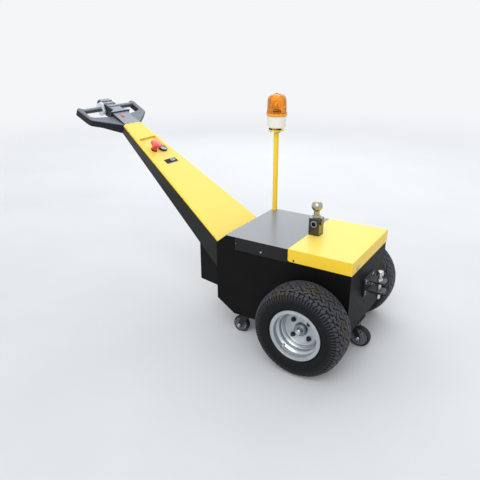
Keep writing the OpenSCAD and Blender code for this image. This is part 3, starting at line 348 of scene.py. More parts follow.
# Clear amber polycarbonate, injection moulded and glossy, tinted in the mass, with upright flutes that are
# sin(count x angle) about the pole; the thick flange at the foot lets less light through
def amberDome(name, pole, flangeTop, flutes):
    constants = {"Base Color": linear("#ffb84a"), "Roughness": 0.05, "IOR": 1.3, "Specular IOR Level": 0.3}
    material, tree, shader, coords, (cloud,) = startMaterial(name, constants, ((25, 3),))
    centred = addNode(tree, "Mapping", {"Vector": coords, "Location": (-pole.x, -pole.y, 0)})
    axes = addNode(tree, "SeparateXYZ", {0: centred}).node.outputs
    foot = addNode(tree, "MapRange", {"Value": axes["Z"], "From Min": flangeTop - 0.5 * mm,
                                      "From Max": flangeTop + 0.5 * mm, "To Min": 1.0, "To Max": 0.0})
    warm = addNode(tree, "MapRange", {"Value": cloud, "From Min": 0.3, "From Max": 0.7})
    layers = [(warm, linear("#ffba4e")), (foot, linear("#ffb836"))]
    gloss = addNode(tree, "MapRange", {"Value": cloud, "From Min": 0.3, "From Max": 0.7,
                                       "To Min": 0.03, "To Max": 0.09})
    clear = addNode(tree, "MapRange", {"Value": foot, "To Min": 0.94, "To Max": 0.25})
    setNode(tree, shader, {"Base Color": layered(tree, linear("#ffca66"), layers), "Roughness": gloss,
                           "Transmission Weight": clear})
    angle = addNode(tree, "Math", {"operation": "ARCTAN2", 0: axes["Y"], 1: axes["X"]})
    turn = addNode(tree, "Math", {"operation": "MULTIPLY", 0: angle, 1: flutes})
    wave = addNode(tree, "Math", {"operation": "SINE", 0: turn})
    bumpFrom(tree, shader, wave, 0.5, 0.6)
    return material


# Frosted bulb and reflector cup, moulded and warm white, faintly lit from outside
def frostedBulb(name):
    constants = {"Base Color": linear("#ffeec2"), "Roughness": 0.3, "Subsurface Weight": 0.2}
    material, tree, shader, _, (cloud, frost) = startMaterial(name, constants, ((12, 2), (2, 2)))
    setNode(tree, shader, {"Base Color": layered(tree, linear("#fff2cc"), [(cloud, linear("#ffe3a0"))])})
    bumpFrom(tree, shader, frost, 0.02, 0.4, 0.8)
    return material


axle = jointPlace["drive_wheel_right_roll"]
tyreRadius = axle.z
poleLow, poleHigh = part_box("beacon_pole")
pole = (poleLow + poleHigh) / 2
bush = sum(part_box("post_bush"), Vector()) / 2
dome = {"flangeTop": 989.5 * mm, "flutes": 40}
# radius of the post bush's bore, inside which the steel is painted dark as shade
boreShade = {"boreRadius": 10.2 * mm}
finish = {
    "blackCoat": powderCoat("black_powder_coat", "#0d0d0e", "#2b2b2d", "#191714", 0.5, specular=0.08),
    "armCoat": powderCoat("black_satin_powder_coat", "#2b2b2b", "#47474a", "#2f2e2b", 0.5, specular=0.08,
                          fade=("#444542", 0.6, 0.8)),
    # the lid's film colour is a painted sheen on its top faces
    "blackLid": powderCoat("black_gloss_powder_coat", "#0e0f10", "#6a6c70", "#121314", 0.34, coat=0.25,
                           peelDepth=0.03, specular=0.2, film="#7d838a"),
    "blackPaint": powderCoat("black_brushed_paint", "#101113", "#55565a", "#1b1b1a", 0.42, coat=0.2,
                             peelMm=5, specular=0.3),
    # the yellow coat's film colour is a painted highlight on its top faces
    "yellowCoat": powderCoat("yellow_powder_coat", "#f7d03a", "#fff0a4", "#efc52e", 0.32, coat=0.1,
                             edgeMm=2.0, peelDepth=0.03, specular=0.15, film="#f9dd68"),
    # the jaw paint's film colour is a painted sheen on its top faces
    "jawPaint": powderCoat("black_worn_paint", "#141517", "#6a6d70", "#24211f", 0.4, peelMm=4, specular=0.3,
                           film="#454a51"),
    "postPaint": powderCoat("black_post_paint", "#151312", "#6e675c", "#231f1b", 0.3, coat=1.0, peelMm=4),
    # on the head, pod and grip the paler top colour is a painted sheen on faces that look up
    "headPlastic": mouldedPlastic("black_nylon_moulded", "#17181b", "#2b2d31", 0.5, specular=0.3,
                                  paintedTopSheen="#70757f"),
    "podPlastic": mouldedPlastic("grey_nylon_moulded", "#24262a", "#4b4f55", 0.5, specular=0.3,
                                 paintedTopSheen="#979da8"),
    "gripPlastic": mouldedPlastic("grip_rubber_moulded", "#363e44", "#4a5259", 0.5, 1.4, 0.12,
                                  paintedTopSheen="#7c878f"),
    "redPlastic": mouldedPlastic("red_abs_moulded", "#dc3327", "#ea6356", 0.3, 1.2, 0.02, 0.8, 0.6),
    "blackPlastic": mouldedPlastic("black_abs_moulded", "#0e0f10", "#2a2b2e", 0.35, 1.2, 0.03, 0.8, 0.1,
                                   0.3),
    "whitePlastic": mouldedPlastic("white_abs_moulded", "#e9e6df", "#f1efe9", 0.34, 1.5, 0.02, 1.0, 0.4),
    "castorCentre": mouldedPlastic("grey_nylon_castor_centre", "#4a4e5a", "#8c909c", 0.3, 1.5, 0.02, 2.0,
                                   0.4),
    "castorRubber": mouldedPlastic("castor_rubber_moulded", "#18181a", "#2a2a2d", 0.6, 1.2, 0.05, 0.8, 0.0,
                                   0.3),
    "padRubber": mouldedPlastic("pad_rubber_moulded", "#1b1b1d", "#323235", 0.6, 1.0, 0.04, 0.5, 0.0, 0.3),
    "meterGlass": mouldedPlastic("black_acrylic_window", "#050506", "#0a0a0b", 0.3, 6, 0.004, 0.4, 0.0, 0.1),
    "meterScreen": mouldedPlastic("pale_display_film", "#b5bcb4", "#c2c8c0", 0.25, 0.8, 0.01, 0.1, 0.6),
    "silverPaint": steel("silver_paint_on_moulding", "#dfe5ea", "#cdd4da", 0.34, 18, metallic=0.75),
    "rimLacquer": steel("silver_lacquer_on_pressed_steel", "#c2c6cb", "#b1b6bb", 0.36, 40, 0.03, 0.8, 0.05,
                        0.8),
    "chrome": steel("polished_chrome", "#b9b3a7", "#ada79b", 0.05, 30, 0.004, 0.5, 0.02),
    # the bush's bore is painted dark as shade
    "bush": steel("steel_bush_painted_bore_shade", "#cfd2d3", "#b4b6b4", 0.25, 9, 0.03,
                  bore=(bush.x, bush.z, boreShade["boreRadius"])),
    "zinc": steel("bright_zinc_plate", "#cfd2d3", "#bcbdb6", 0.3, 7, 0.03),
    "dullZinc": steel("dull_zinc_plate", "#9a9d9f", "#85878a", 0.42, 9, 0.05),
    "turnedSteel": steel("turned_steel", "#93989c", "#84898d", 0.34, 25, 0.02, 0.6, 0.04),
    "castIron": steel("cast_housing", "#5d6063", "#4c4f52", 0.6, 14, 0.2),
    "rubber": turfRubber("turf_tyre_rubber"),
    "amber": amberDome("amber_polycarbonate", pole, dome["flangeTop"], dome["flutes"]),
    "bulb": frostedBulb("frosted_bulb"),
}
print("materials:", len(finish))

# Finish of each node that stays as it is
nodeFinish = {
    "blackCoat": ["side_plate_right", "side_plate_left", "rear_plate", "floor_pan", "front_plate",
                  "arm_foot"],
    "armCoat": ["arm_channel"],
    "blackLid": ["lid"],
    "jawPaint": ["hitch_bracket"],
    "blackPaint": ["axle_tubes", "castor_bracket"] + ["castor_fork_" + c for c in castors],
    "yellowCoat": ["cover", "arm_panel", "switch_plate", "beacon_pole", "beacon_plate"],
    "postPaint": ["ball_post"],
    "headPlastic": ["tiller_head"],
    "podPlastic": ["control_pod"],
    "gripPlastic": ["grip_bar"],
    "redPlastic": ["stop_button", "belly_button", "indicator"],
    "blackPlastic": ["stop_collar", "meter", "battery_block"],
    "whitePlastic": ["beacon_base"],
    "silverPaint": ["throttle_discs"],
    "rimLacquer": ["rim_right", "rim_left"],
    "chrome": ["tow_ball"],
    "zinc": ["hitch_pin", "cover_catch"],
    "bush": ["post_bush"],
    "dullZinc": ["castor_mounts"],
    "turnedSteel": ["hub_right", "hub_left", "key_switch"],
    "castIron": ["drive_unit"],
    "castorRubber": ["castor_tyre_" + c for c in castors],
    "castorCentre": ["castor_centre_" + c for c in castors],
    "amber": ["beacon_dome"],
    "bulb": ["beacon_lamp"],
}
for key, names in nodeFinish.items():
    for name in names:
        nodes[name].data.materials.clear()
        nodes[name].data.materials.append(finish[key])
print("nodes finished:", sum(len(v) for v in nodeFinish.values()))

# Turf tyre
tyre = {
    "halfWidth": 79.8 * mm, "midRadius": 150 * mm, "crownRise": 50 * mm, "power": 2 / 3,
    "carcass": 9 * mm, "innerWidth": 0.7, "beadRadius": 102 * mm, "beadHalf": 65.6 * mm,
    "beadAngle": 28, "flangeRadius": 116 * mm, "treadStart": 38, "treadDepth": 6.5 * mm, "crownGap": 4,
    "around": 56, "rows": 5, "rowGap": 1.6 * mm, "barWidth": 17.5 * mm, "draft": 1.06,
    "blockSunk": 0.4 * mm, "blockEdge": 0.8 * mm, "sway": 6.5 * mm, "stagger": 2.2 * mm,
    "staggerReach": 0.8, "overrun": 14, "lugOver": 3 * mm, "lugGap": 1.4 * mm, "lugSway": 0.35,
    "sinkFrom": 0.10, "sinkTo": 0.02,
    "ribCount": 84, "ribSteps": 4, "ribLow": 164 * mm, "ribBlend": 2 * mm, "ribDepth": 2.2 * mm,
    "ringRadius": 158 * mm, "ringWidth": 1.6 * mm, "ringRise": 0.7 * mm,
}


# Section of the tyre: half width sgn(cos a)|cos a|^p and radius mid + rise |sin a|^p, p = 2/3,
# for a from one side over the crown to the other
def tyreSection(a):
    p = tyre["power"]
    c, s = np.cos(a), np.sin(a)
    low = tyre["midRadius"] - tyre["beadRadius"]
    rise = np.where(s > 0, tyre["crownRise"], low)
    return (tyre["midRadius"] + rise * np.sign(s) * np.abs(s) ** p,
            tyre["halfWidth"] * np.sign(c) * np.abs(c) ** p)


# Smooth step from 0 at low to 1 at high
def smooth(x, low, high):
    t = np.clip((x - low) / (high - low), 0, 1)
    return t * t * (3 - 2 * t)


# Outward direction of the section at each angle, by central differences along it
def sectionNormal(a):
    step = 0.004
    r1, y1 = tyreSection(a - step)
    r2, y2 = tyreSection(a + step)
    dr, dy = r2 - r1, y2 - y1
    size = np.hypot(dr, dy)
    return -dy / size, dr / size


# Carcass: the section turned about the axle, sunk under the tread, with ribs and a thin ring on the walls.
# Its relief is 0.2 on the plain wall, 0.45 on the ring, 0.75 on the ribs, 0 between them and under the
# tread;
# in the rubber it gives a painted highlight on the ribs and ring and painted shade between the ribs
def carcassGrid():
    turns = tyre["ribCount"] * tyre["ribSteps"]
    low, gap = tyre["treadStart"], tyre["crownGap"]
    wall = np.linspace(-tyre["beadAngle"], low, 36)
    a = np.radians(np.concatenate([wall, np.linspace(low + gap, 180 - low - gap, 20), 180 - wall[::-1]]))
    r, y = tyreSection(a)
    nr, ny = sectionNormal(a)
    t = np.linspace(0, 2 * math.pi, turns, endpoint=False)
    start, end = math.radians(low) - tyre["sinkFrom"], math.radians(low) + tyre["sinkTo"]
    under = smooth(a, start, end) * smooth(math.pi - a, start, end)
    wave = np.floor(np.arange(turns) * 2 / tyre["ribSteps"]) % 2
    band = smooth(r, tyre["ribLow"] - tyre["ribBlend"], tyre["ribLow"] + tyre["ribBlend"]) * (1 - under)
    ring = np.exp(-((r - tyre["ringRadius"]) / tyre["ringWidth"]) ** 2) * tyre["ringRise"]
    sunk = (tyre["ribDepth"] * (band[:, None] * wave[None]) + (under * tyre["treadDepth"])[:, None]
            + (tyre["ringRise"] - ring)[:, None])
    radius = r[:, None] - nr[:, None] * sunk
    half = y[:, None] - ny[:, None] * sunk
    thick, crown = tyre["carcass"], tyre["midRadius"] + tyre["crownRise"] - 2 * tyre["carcass"]
    inner = np.array([(tyre["flangeRadius"], tyre["beadHalf"]), (tyre["beadRadius"], tyre["beadHalf"]),
                      (tyre["beadRadius"], tyre["beadHalf"] - thick),
                      (tyre["midRadius"], tyre["halfWidth"] - thick),
                      (crown, tyre["halfWidth"] * tyre["innerWidth"])])
    inner = np.concatenate([inner * [1, -1], inner[::-1]])
    radius = np.concatenate([radius, np.repeat(inner[:, :1], turns, 1)])
    half = np.concatenate([half, np.repeat(inner[:, 1:], turns, 1)])
    points = np.stack([radius * np.cos(t), half, radius * np.sin(t)], -1)
    relief = 0.2 * (1 - under[:, None]) + 0.55 * band[:, None] * (1 - 1.4 * wave[None])
    relief = relief + 0.25 * (ring / tyre["ringRise"])[:, None]
    relief = np.concatenate([relief, np.zeros((len(inner), turns))])
    return points, gridQuads(len(radius), turns, closeRows=True, closeColumns=True), np.clip(relief, 0, 1)


# Height of a block over its grid: the outer ring under the groove's floor, the next ring just under the top
def blockHeights(rows, columns):
    i, j = np.meshgrid(np.arange(rows), np.arange(columns), indexing="ij")
    ring = np.minimum(np.minimum(i, rows - 1 - i), np.minimum(j, columns - 1 - j))
    levels = [-tyre["blockSunk"], tyre["treadDepth"] - tyre["blockEdge"], tyre["treadDepth"]]
    return np.choose(np.minimum(ring, 2), levels)


# Rows of blocks across the tread, each as (place, half length, offset round the tyre in pitches, sway):
# five rows over the crown and a row of lugs on each shoulder
def treadRows(reach):
    pitch = 2 * reach / (tyre["rows"] + 1)
    rows = [(k - (tyre["rows"] - 1) / 2) * pitch for k in range(tyre["rows"])]
    layout = [(place, pitch / 2 - tyre["rowGap"], (k % 2) / 2, 1 if k % 2 else -1)
              for k, place in enumerate(rows)]
    edge = rows[-1] + pitch / 2
    lug = reach - rows[-1] - pitch / 2 + tyre["lugOver"]
    return layout + [(side * (edge + tyre["lugGap"] + lug / 2), lug / 2, 0.25 + 0.25 * side,
                      tyre["lugSway"] * side) for side in (-1, 1)]


# Blocks of the tread: u across and v around on the worn surface, each swung sideways by sway sin(pi u)
def treadGrid():
    first = tyre["treadStart"] - tyre["overrun"]
    fine = np.radians(np.linspace(first, 180 - first, 900))
    r, y = tyreSection(fine)
    run = np.concatenate([[0], np.cumsum(np.hypot(np.diff(r), np.diff(y)))])
    run -= np.interp(math.pi / 2, fine, run)
    reach = np.interp(math.radians(180 - tyre["treadStart"]), fine, run)
    pitch = 2 * math.pi / tyre["around"]
    u = np.array([-1, -1, -0.9, -0.55, -0.2, 0.2, 0.55, 0.9, 1, 1.0])
    v = np.array([-1, -1, -0.86, -0.3, 0.3, 0.86, 1, 1.0])
    uu, vv = np.meshgrid(u, v, indexing="ij")
    draft = np.full((len(u), len(v)), tyre["draft"])
    draft[1:-1, 1:-1] = 1
    height = blockHeights(len(u), len(v))
    sunk = tyre["treadDepth"] - height
    parts = []
    for place, half, offset, swing in treadRows(reach):
        sway = swing * tyre["sway"] * np.sin(math.pi * uu)
        for j in range(tyre["around"]):
            shift = tyre["stagger"] * (1 if j % 2 else -1) * (abs(place) < reach * tyre["staggerReach"])
            a = np.interp(place + shift + uu * half * draft, run, fine)
            rr, yy = tyreSection(a)
            nr, ny = sectionNormal(a)
            around = (j + offset) * pitch + (sway + vv * tyre["barWidth"] / 2 * draft) / tyreRadius
            rad, wide = rr - nr * sunk, yy - ny * sunk
            parts.append(np.stack([rad * np.cos(around), wide, rad * np.sin(around)], -1))
    # relief 1 on the blocks' tops carries the painted highlight, 0 at their foot the painted shade
    relief = np.tile(np.clip(height / tyre["treadDepth"], 0, 1).ravel(), len(parts))
    quads = repeatQuads(gridQuads(len(u), len(v)), height.size, len(parts))
    return np.concatenate(parts).reshape(-1, 3), quads, relief


carcass, tread = carcassGrid(), treadGrid()
tyreGrid = joined(carcass[:2], tread[:2])
tyreRelief = np.concatenate([carcass[2].ravel(), tread[2]])
for side, sign in sides.items():
    low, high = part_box("tyre_" + side)
    centre = np.array([axle.x, (low.y + high.y) / 2, axle.z])
    points = tyreGrid[0] * [1, sign, 1] + centre
    piece = makePiece("turf_tyre_" + side, points, tyreGrid[1], finish["rubber"], "drive_wheel_" + side,
                      "tyre_" + side, 40, tyreRelief)
    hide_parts("tyre_" + side)
print("tyres:", len(tyreGrid[1]) * 2, "triangles each")


# Small pieces that sit on the CAD nodes

# Seat of a small piece: the first place where a ray meets the node, and which way its face looks there
def seatOn(node, start, direction):
    hit, place, normal, _ = nodes[node].ray_cast(Vector(start), Vector(direction))
    if not hit:
        raise ValueError("nothing to sit on: " + node)
    return place, normal


# Middle of the node's highest ring of points along an axis
def topOf(node, axis):
    mesh = nodes[node].data
    points = np.empty(len(mesh.vertices) * 3)
    mesh.vertices.foreach_get("co", points)
    points = points.reshape(-1, 3)
    height = points @ np.array(axis)
    ring = points[height > height.max() - 0.05 * mm]
    return (ring.min(0) + ring.max(0)) / 2


# Bolt or nut head on its washer, standing on z = 0 and sunk a little below it
def boltHead(flats, height, washer, washerHeight, sunk=0.3 * mm):
    ring = turnedGrid([(0, -sunk), (washer, -sunk), (washer, washerHeight * 0.8),
                       (washer * 0.94, washerHeight), (0, washerHeight)], 36)
    return joined(ring, hexGrid(flats, height, washerHeight - sunk))


# Domed screw head with a socket in it: radius r and height h give its profile
def screwHead(r, h, sunk=0.3 * mm):
    return turnedGrid([(0, -sunk), (r, -sunk), (r, 0.35 * h), (0.82 * r, 0.85 * h), (0.45 * r, h),
                       (0.38 * r, 0.4 * h), (0, 0.4 * h)], 24)


# Plate with round corners: |x / a|^n + |y / b|^n = 1 carried up its height, with a bevel at the top
def plateGrid(width, depth, height, bevel, power=9, around=72):
    t = np.linspace(0, 2 * math.pi, around, endpoint=False)
    x = np.sign(np.cos(t)) * np.abs(np.cos(t)) ** (2 / power)
    y = np.sign(np.sin(t)) * np.abs(np.sin(t)) ** (2 / power)
    inset = np.array([max(width, depth), 0, 0, bevel, max(width, depth)])
    z = np.array([0, 0, height - bevel, height, height])
    halfWide, halfDeep = np.maximum(width / 2 - inset, 0), np.maximum(depth / 2 - inset, 0)
    points = np.stack([np.outer(halfWide, x), np.outer(halfDeep, y), np.outer(z, np.ones(around))], -1)
    return points, gridQuads(len(z), around, closeColumns=True)


# Weld bead: a round section whose radius swells with each ripple along the line
def weldBead(start, end, radius, ripple=2.5 * mm, rippleSteps=4, swell=0.12):
    start, end = np.array(start, float), np.array(end, float)
    steps = max(int(np.linalg.norm(end - start) / ripple * rippleSteps), 2 * rippleSteps)
    share = np.linspace(0, 1, steps)
    radii = radius * (1 + swell * np.cos(share * steps / rippleSteps * 2 * math.pi))
    return sweptGrid(start + share[:, None] * (end - start), radii, 10)


bpy.context.view_layer.update()

# Wheel bolts, the shaft's end and the tyre valve
wheelTrim = {"circle": 50.8 * mm, "seatOut": 4.5 * mm, "flats": 16 * mm, "head": 9 * mm, "flange": 11 * mm,
             "flangeHeight": 3 * mm, "firstBolt": 45, "bolts": 4, "boltSpin": 17, "shaftOut": 34.5 * mm,
             "shaftRadius": 11.5 * mm, "valveAngle": 232, "valveOut": 44 * mm, "valveRadius": 4 * mm,
             "valveLength": 27 * mm, "valveIn": 0.75, "valveLean": 0.66}


def makeWheelTrim(side, sign):
    low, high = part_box("tyre_" + side)
    middle = (low.y + high.y) / 2
    body, outward = "drive_wheel_" + side, Vector((0, sign, 0))
    places = []
    for k in range(wheelTrim["bolts"]):
        a = math.radians(wheelTrim["firstBolt"] + k * 360 / wheelTrim["bolts"])
        centre = (axle.x + wheelTrim["circle"] * math.cos(a), middle + sign * wheelTrim["seatOut"],
                  axle.z + wheelTrim["circle"] * math.sin(a))
        places.append((centre, outward, wheelTrim["boltSpin"] * k))
    head = boltHead(wheelTrim["flats"], wheelTrim["head"], wheelTrim["flange"], wheelTrim["flangeHeight"])
    makePiece("wheel_bolts_" + side, *placed(*head, places), finish["blackPaint"], body, "axle_tubes")
    r = wheelTrim["shaftRadius"]
    stub = turnedGrid([(0, -mm), (r, -mm), (r, 4 * mm), (r - 1.2 * mm, 5.2 * mm), (3 * mm, 5.2 * mm),
                       (1.5 * mm, 3.4 * mm), (0, 3 * mm)], 36)      # its end is centre-drilled
    end = ((axle.x, middle + sign * wheelTrim["shaftOut"], axle.z), outward)
    makePiece("shaft_end_" + side, *placed(*stub, [end]), finish["zinc"], body, "hub_" + side)
    a = math.radians(wheelTrim["valveAngle"])
    seat, face = seatOn("rim_" + side, (axle.x, middle + sign * wheelTrim["valveOut"], axle.z),
                        (math.cos(a), 0, math.sin(a)))
    r, h = wheelTrim["valveRadius"], wheelTrim["valveLength"]
    stem = turnedGrid([(0, -2 * mm), (r * 1.7, -2 * mm), (r * 1.6, mm), (r, 4 * mm), (r * 0.95, h * 0.62),
                       (r * 0.6, h * 0.64), (r * 0.6, h * 0.7), (r * 1.05, h * 0.72), (r * 1.05, h * 0.96),
                       (r * 0.8, h), (0, h)], 24)                   # foot, stem, neck and cap
    lean = face * wheelTrim["valveIn"] + outward * wheelTrim["valveLean"]
    makePiece("valve_stem_" + side, *placed(*stem, [(seat, lean)]), finish["zinc"], body, "hub_" + side)


for side, sign in sides.items():
    makeWheelTrim(side, sign)
print("wheel trim placed")

# Pin jaw: four bolts on bright washers, and the beads that hold the two tongues
jaw = {"boltAcross": 41 * mm, "boltUp": 26 * mm, "flats": 13 * mm, "head": 7 * mm, "washer": 10 * mm,
       "washerHeight": 2 * mm, "washerEdge": 0.4 * mm, "sunk": 0.3 * mm, "beadHalf": 28 * mm,
       "bead": 2.6 * mm, "plate": 8 * mm, "tongues": (296 * mm, 352 * mm)}


def makeJawTrim():
    low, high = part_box("hitch_bracket")
    middle, front = (low.z + high.z) / 2, low.x + jaw["plate"]
    places = [((front, i * jaw["boltAcross"], middle + j * jaw["boltUp"]), (1, 0, 0), 20 * i + 9 * j)
              for i in (-1, 1) for j in (-1, 1)]
    r, h, edge = jaw["washer"], jaw["washerHeight"], jaw["washerEdge"]
    washer = turnedGrid([(0, -jaw["sunk"]), (r, -jaw["sunk"]), (r, h - edge), (r - edge, h), (0, h)], 32)
    makePiece("jaw_washers", *placed(*washer, places), finish["zinc"], "chassis", "hitch_pin")
    head = boltHead(jaw["flats"], h + jaw["head"], jaw["flats"] / 2, h)
    makePiece("jaw_bolts", *placed(*head, places), finish["jawPaint"], "chassis", "hitch_bracket")
    beads = [weldBead((front, -jaw["beadHalf"], z), (front, jaw["beadHalf"], z), jaw["bead"])
             for z in jaw["tongues"]]
    makePiece("jaw_welds", *joined(*beads), finish["jawPaint"], "chassis", "hitch_bracket")


makeJawTrim()

# Screws in the panels: (x, z) on the lid, the cover and the arm's edges, in millimetres, one on each side
panelScrews = {"lid": [(330.4, 458.3)], "lidSmall": [(200.4, 472.7)], "cover": [(488.9, 455.0)],
               "arm": [(-548, 873), (-353, 738), (-156, 602), (51, 459)],
               "radius": 4.2 * mm, "height": 2.6 * mm}


def makeScrews():
    rows = (("lid_screws", "lid", "lid", "zinc", "cover_catch", 1.0),
            ("lid_rivets", "lidSmall", "lid", "dullZinc", "castor_mounts", 0.5),
            ("cover_screws", "cover", "cover", "blackPaint", "axle_tubes", 1.0),
            ("arm_screws", "arm", "arm_panel", "dullZinc", "castor_mounts", 0.6))
    for name, key, node, look, slot, scale in rows:
        places = [seatOn(node, (x * mm, sign * 0.4, z * mm), (0, -sign, 0))
                  for x, z in panelScrews[key] for sign in sides.values()]
        head = screwHead(panelScrews["radius"] * scale, panelScrews["height"] * scale)
        makePiece(name, *placed(*head, places), finish[look], "chassis", slot)


makeScrews()
print("jaw and panel fixings placed")

# Castors: plate bolts seen from below, axle nuts on the forks' cheeks
castorTrim = {"boltIn": 9 * mm, "boltRadius": 5.5 * mm, "boltHeight": 3.4 * mm, "nutFlats": 13 * mm,
              "nutHeight": 4.5 * mm, "nutWasher": 8 * mm, "nutWasherHeight": 1.2 * mm,
              "plateHalf": {"front": 42 * mm, "right": 37 * mm, "left": 37 * mm}}


def makeCastorTrim():
    places = []
    for castor in castors:
        pivot, wheel = jointPlace["castor_%s_swivel" % castor], jointPlace["castor_%s_roll" % castor]
        reach = castorTrim["plateHalf"][castor] - castorTrim["boltIn"]
        places += [seatOn("castor_mounts", (pivot.x + i * reach, pivot.y + j * reach, 0), (0, 0, 1))
                   for i in (-1, 1) for j in (-1, 1)]
        seats = [seatOn("castor_fork_" + castor, (wheel.x, wheel.y + i * 0.1, wheel.z), (0, -i, 0))
                 for i in (-1, 1)]
        nut = boltHead(castorTrim["nutFlats"], castorTrim["nutHeight"], castorTrim["nutWasher"],
                       castorTrim["nutWasherHeight"])
        makePiece("axle_nuts_" + castor, *placed(*nut, seats), finish["zinc"], "castor_" + castor,
                  "castor_mounts")
    head = screwHead(castorTrim["boltRadius"], castorTrim["boltHeight"])
    makePiece("castor_plate_bolts", *placed(*head, places), finish["zinc"], "chassis", "castor_mounts")


makeCastorTrim()

# Battery meter: dark window in its frame with a plain display and bars, laid on the arm's slope
meter = {"window": (25 * mm, 80 * mm), "thick": 1.4 * mm, "edge": 0.3 * mm, "screen": (15 * mm, 34 * mm),
         "screenAcross": 20 * mm, "bars": 8, "bar": (8 * mm, 2.2 * mm), "barPitch": 3.6 * mm,
         "film": 0.25 * mm, "filmEdge": 0.05 * mm}


def makeMeter():
    low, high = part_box("meter")
    middle = (low + high) / 2
    seats = [seatOn("meter", (middle.x, middle.y, high.z + 0.1), (0, 0, -1))]
    window = plateGrid(*meter["window"], meter["thick"], meter["edge"])
    makePiece("meter_window", *placed(*window, seats), finish["meterGlass"], "chassis", "meter")
    up = meter["thick"]
    screen, quads = plateGrid(*meter["screen"], meter["film"], meter["filmEdge"])
    screen = screen + [0, meter["screenAcross"], up]
    makePiece("meter_screen", *placed(screen, quads, seats), finish["meterScreen"], "chassis", "meter")
    bar, quads = plateGrid(*meter["bar"], meter["film"], meter["filmEdge"], around=16)
    across = (np.arange(meter["bars"]) - (meter["bars"] - 1) / 2) * meter["barPitch"] + meter["screenAcross"]
    bars = [(bar + [0, y, up + meter["film"]], quads) for y in across]
    makePiece("meter_bars", *placed(*joined(*bars), seats), finish["blackPlastic"], "chassis", "meter")


# Dark ring round the key switch, closed over its chamfer
keyRing = {"outer": 25.4 * mm, "inner": 21 * mm, "height": 9.5 * mm, "shoulder": 5.4 * mm, "wall": 1.5 * mm,
           "taper": 3 * mm, "rayFrom": 1.2, "depth": 9 * mm}


def makeKeyRing():
    low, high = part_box("key_switch")
    middle = (low + high) / 2
    start = (middle.x, middle.y + keyRing["inner"], keyRing["rayFrom"])
    face = seatOn("key_switch", start, (0, 0, -1))[1]
    o, i, h, s = [keyRing[k] for k in ("outer", "inner", "height", "shoulder")]
    wall, taper = keyRing["wall"], keyRing["taper"]
    ring = turnedGrid([(o - wall, 0), (o, 0), (o, s), (o - taper, h), (i, h), (i, h - 1.2 * mm),
                       (o - taper - 0.6 * mm, h - 1.4 * mm), (o - wall, s), (o - wall, 0)], 48)
    origin = Vector(topOf("key_switch", face)) - face * keyRing["depth"]
    makePiece("key_switch_ring", *placed(*ring, [(origin, face)]), finish["blackPlastic"], "chassis",
              "stop_collar")


makeMeter()
makeKeyRing()

# Beacon: nuts under its plate, pads and a gland over it; tiller head: screws in its lower shell
smallTrim = {"beaconCircle": 28 * mm, "beaconTurns": (90, 210, 330), "flats": 8 * mm, "height": 5 * mm,
             "headScrews": [(-640, 66), (-640, -66), (-690, 150), (-690, -150)], "screw": 4 * mm,
             "sleeve": 8 * mm, "gland": 12 * mm, "gap": 9 * mm, "clear": 0.2 * mm, "bulge": 1 * mm}


def makeSmallTrim():
    reach, turns = smallTrim["beaconCircle"], np.radians(smallTrim["beaconTurns"])
    circle = [(pole.x + reach * math.cos(a), pole.y + reach * math.sin(a)) for a in turns]
    places = [seatOn("beacon_plate", (x, y, poleHigh.z - 50 * mm), (0, 0, 1)) for x, y in circle]
    nut = boltHead(smallTrim["flats"], smallTrim["height"], smallTrim["flats"] * 0.7, mm)
    makePiece("beacon_nuts", *placed(*nut, places), finish["blackPaint"], "chassis", "axle_tubes")
    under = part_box("beacon_base")[0].z - smallTrim["gap"]
    feet = [((x, y, under), (0, 0, 1)) for x, y in circle]
    h, bulge = smallTrim["gap"] - smallTrim["clear"], smallTrim["bulge"]
    sleeve, gland = [turnedGrid([(0, 0), (r, 0), (r + bulge, h / 2), (r, h), (0, h)], 28)
                     for r in (smallTrim["sleeve"], smallTrim["gland"])]
    pads = joined(placed(*sleeve, feet), placed(*gland, [((pole.x, pole.y, under), (0, 0, 1))]))
    makePiece("beacon_pads", *pads, finish["padRubber"], "chassis", "stop_collar")
    places = [seatOn("tiller_head", (x * mm, y * mm, 0.5), (0, 0, 1)) for x, y in smallTrim["headScrews"]]
    head = screwHead(smallTrim["screw"], smallTrim["screw"] * 0.6)
    makePiece("head_screws", *placed(*head, places), finish["dullZinc"], "chassis", "castor_mounts")


makeSmallTrim()

# Inside the dome: the dark motor under the bulb and a half cup of bright metal behind it
rotor = {"motorRadius": 21 * mm, "motorLow": 5 * mm, "motorHigh": 19 * mm, "motorEdge": 2 * mm,
         "cupLow": 16 * mm, "cupHigh": 58 * mm, "cupMiddle": 29 * mm, "cupRoot": 14 * mm, "wall": 1.2 * mm,
         "turn": 215, "halfTurn": 78}


# Half cup with a wall, turned through part of a circle: its radius is root + (middle - root) times
# sin(pi (0.12 + 0.76 h)), for h from 0 at its foot to 1 at its top
def cupGrid(steps=12, around=32):
    h = np.linspace(0, 1, steps)
    outer = rotor["cupRoot"] + (rotor["cupMiddle"] - rotor["cupRoot"]) * np.sin(math.pi * (0.12 + 0.76 * h))
    r = np.concatenate([outer, outer[::-1] - rotor["wall"]])
    z = rotor["cupLow"] + (rotor["cupHigh"] - rotor["cupLow"]) * np.concatenate([h, h[::-1]])
    t = np.radians(rotor["turn"] + np.linspace(-rotor["halfTurn"], rotor["halfTurn"], around))
    points = np.stack([np.outer(np.cos(t), r), np.outer(np.sin(t), r), np.outer(np.ones(around), z)], -1)
    ends = points[[0, -1]].copy()
    ends[:, :steps] = ends[:, steps:][:, ::-1] = (ends[:, :steps] + ends[:, steps:][:, ::-1]) / 2
    points = np.concatenate([ends[:1], points, ends[1:]])
    return points, gridQuads(len(points), 2 * steps, closeColumns=True)


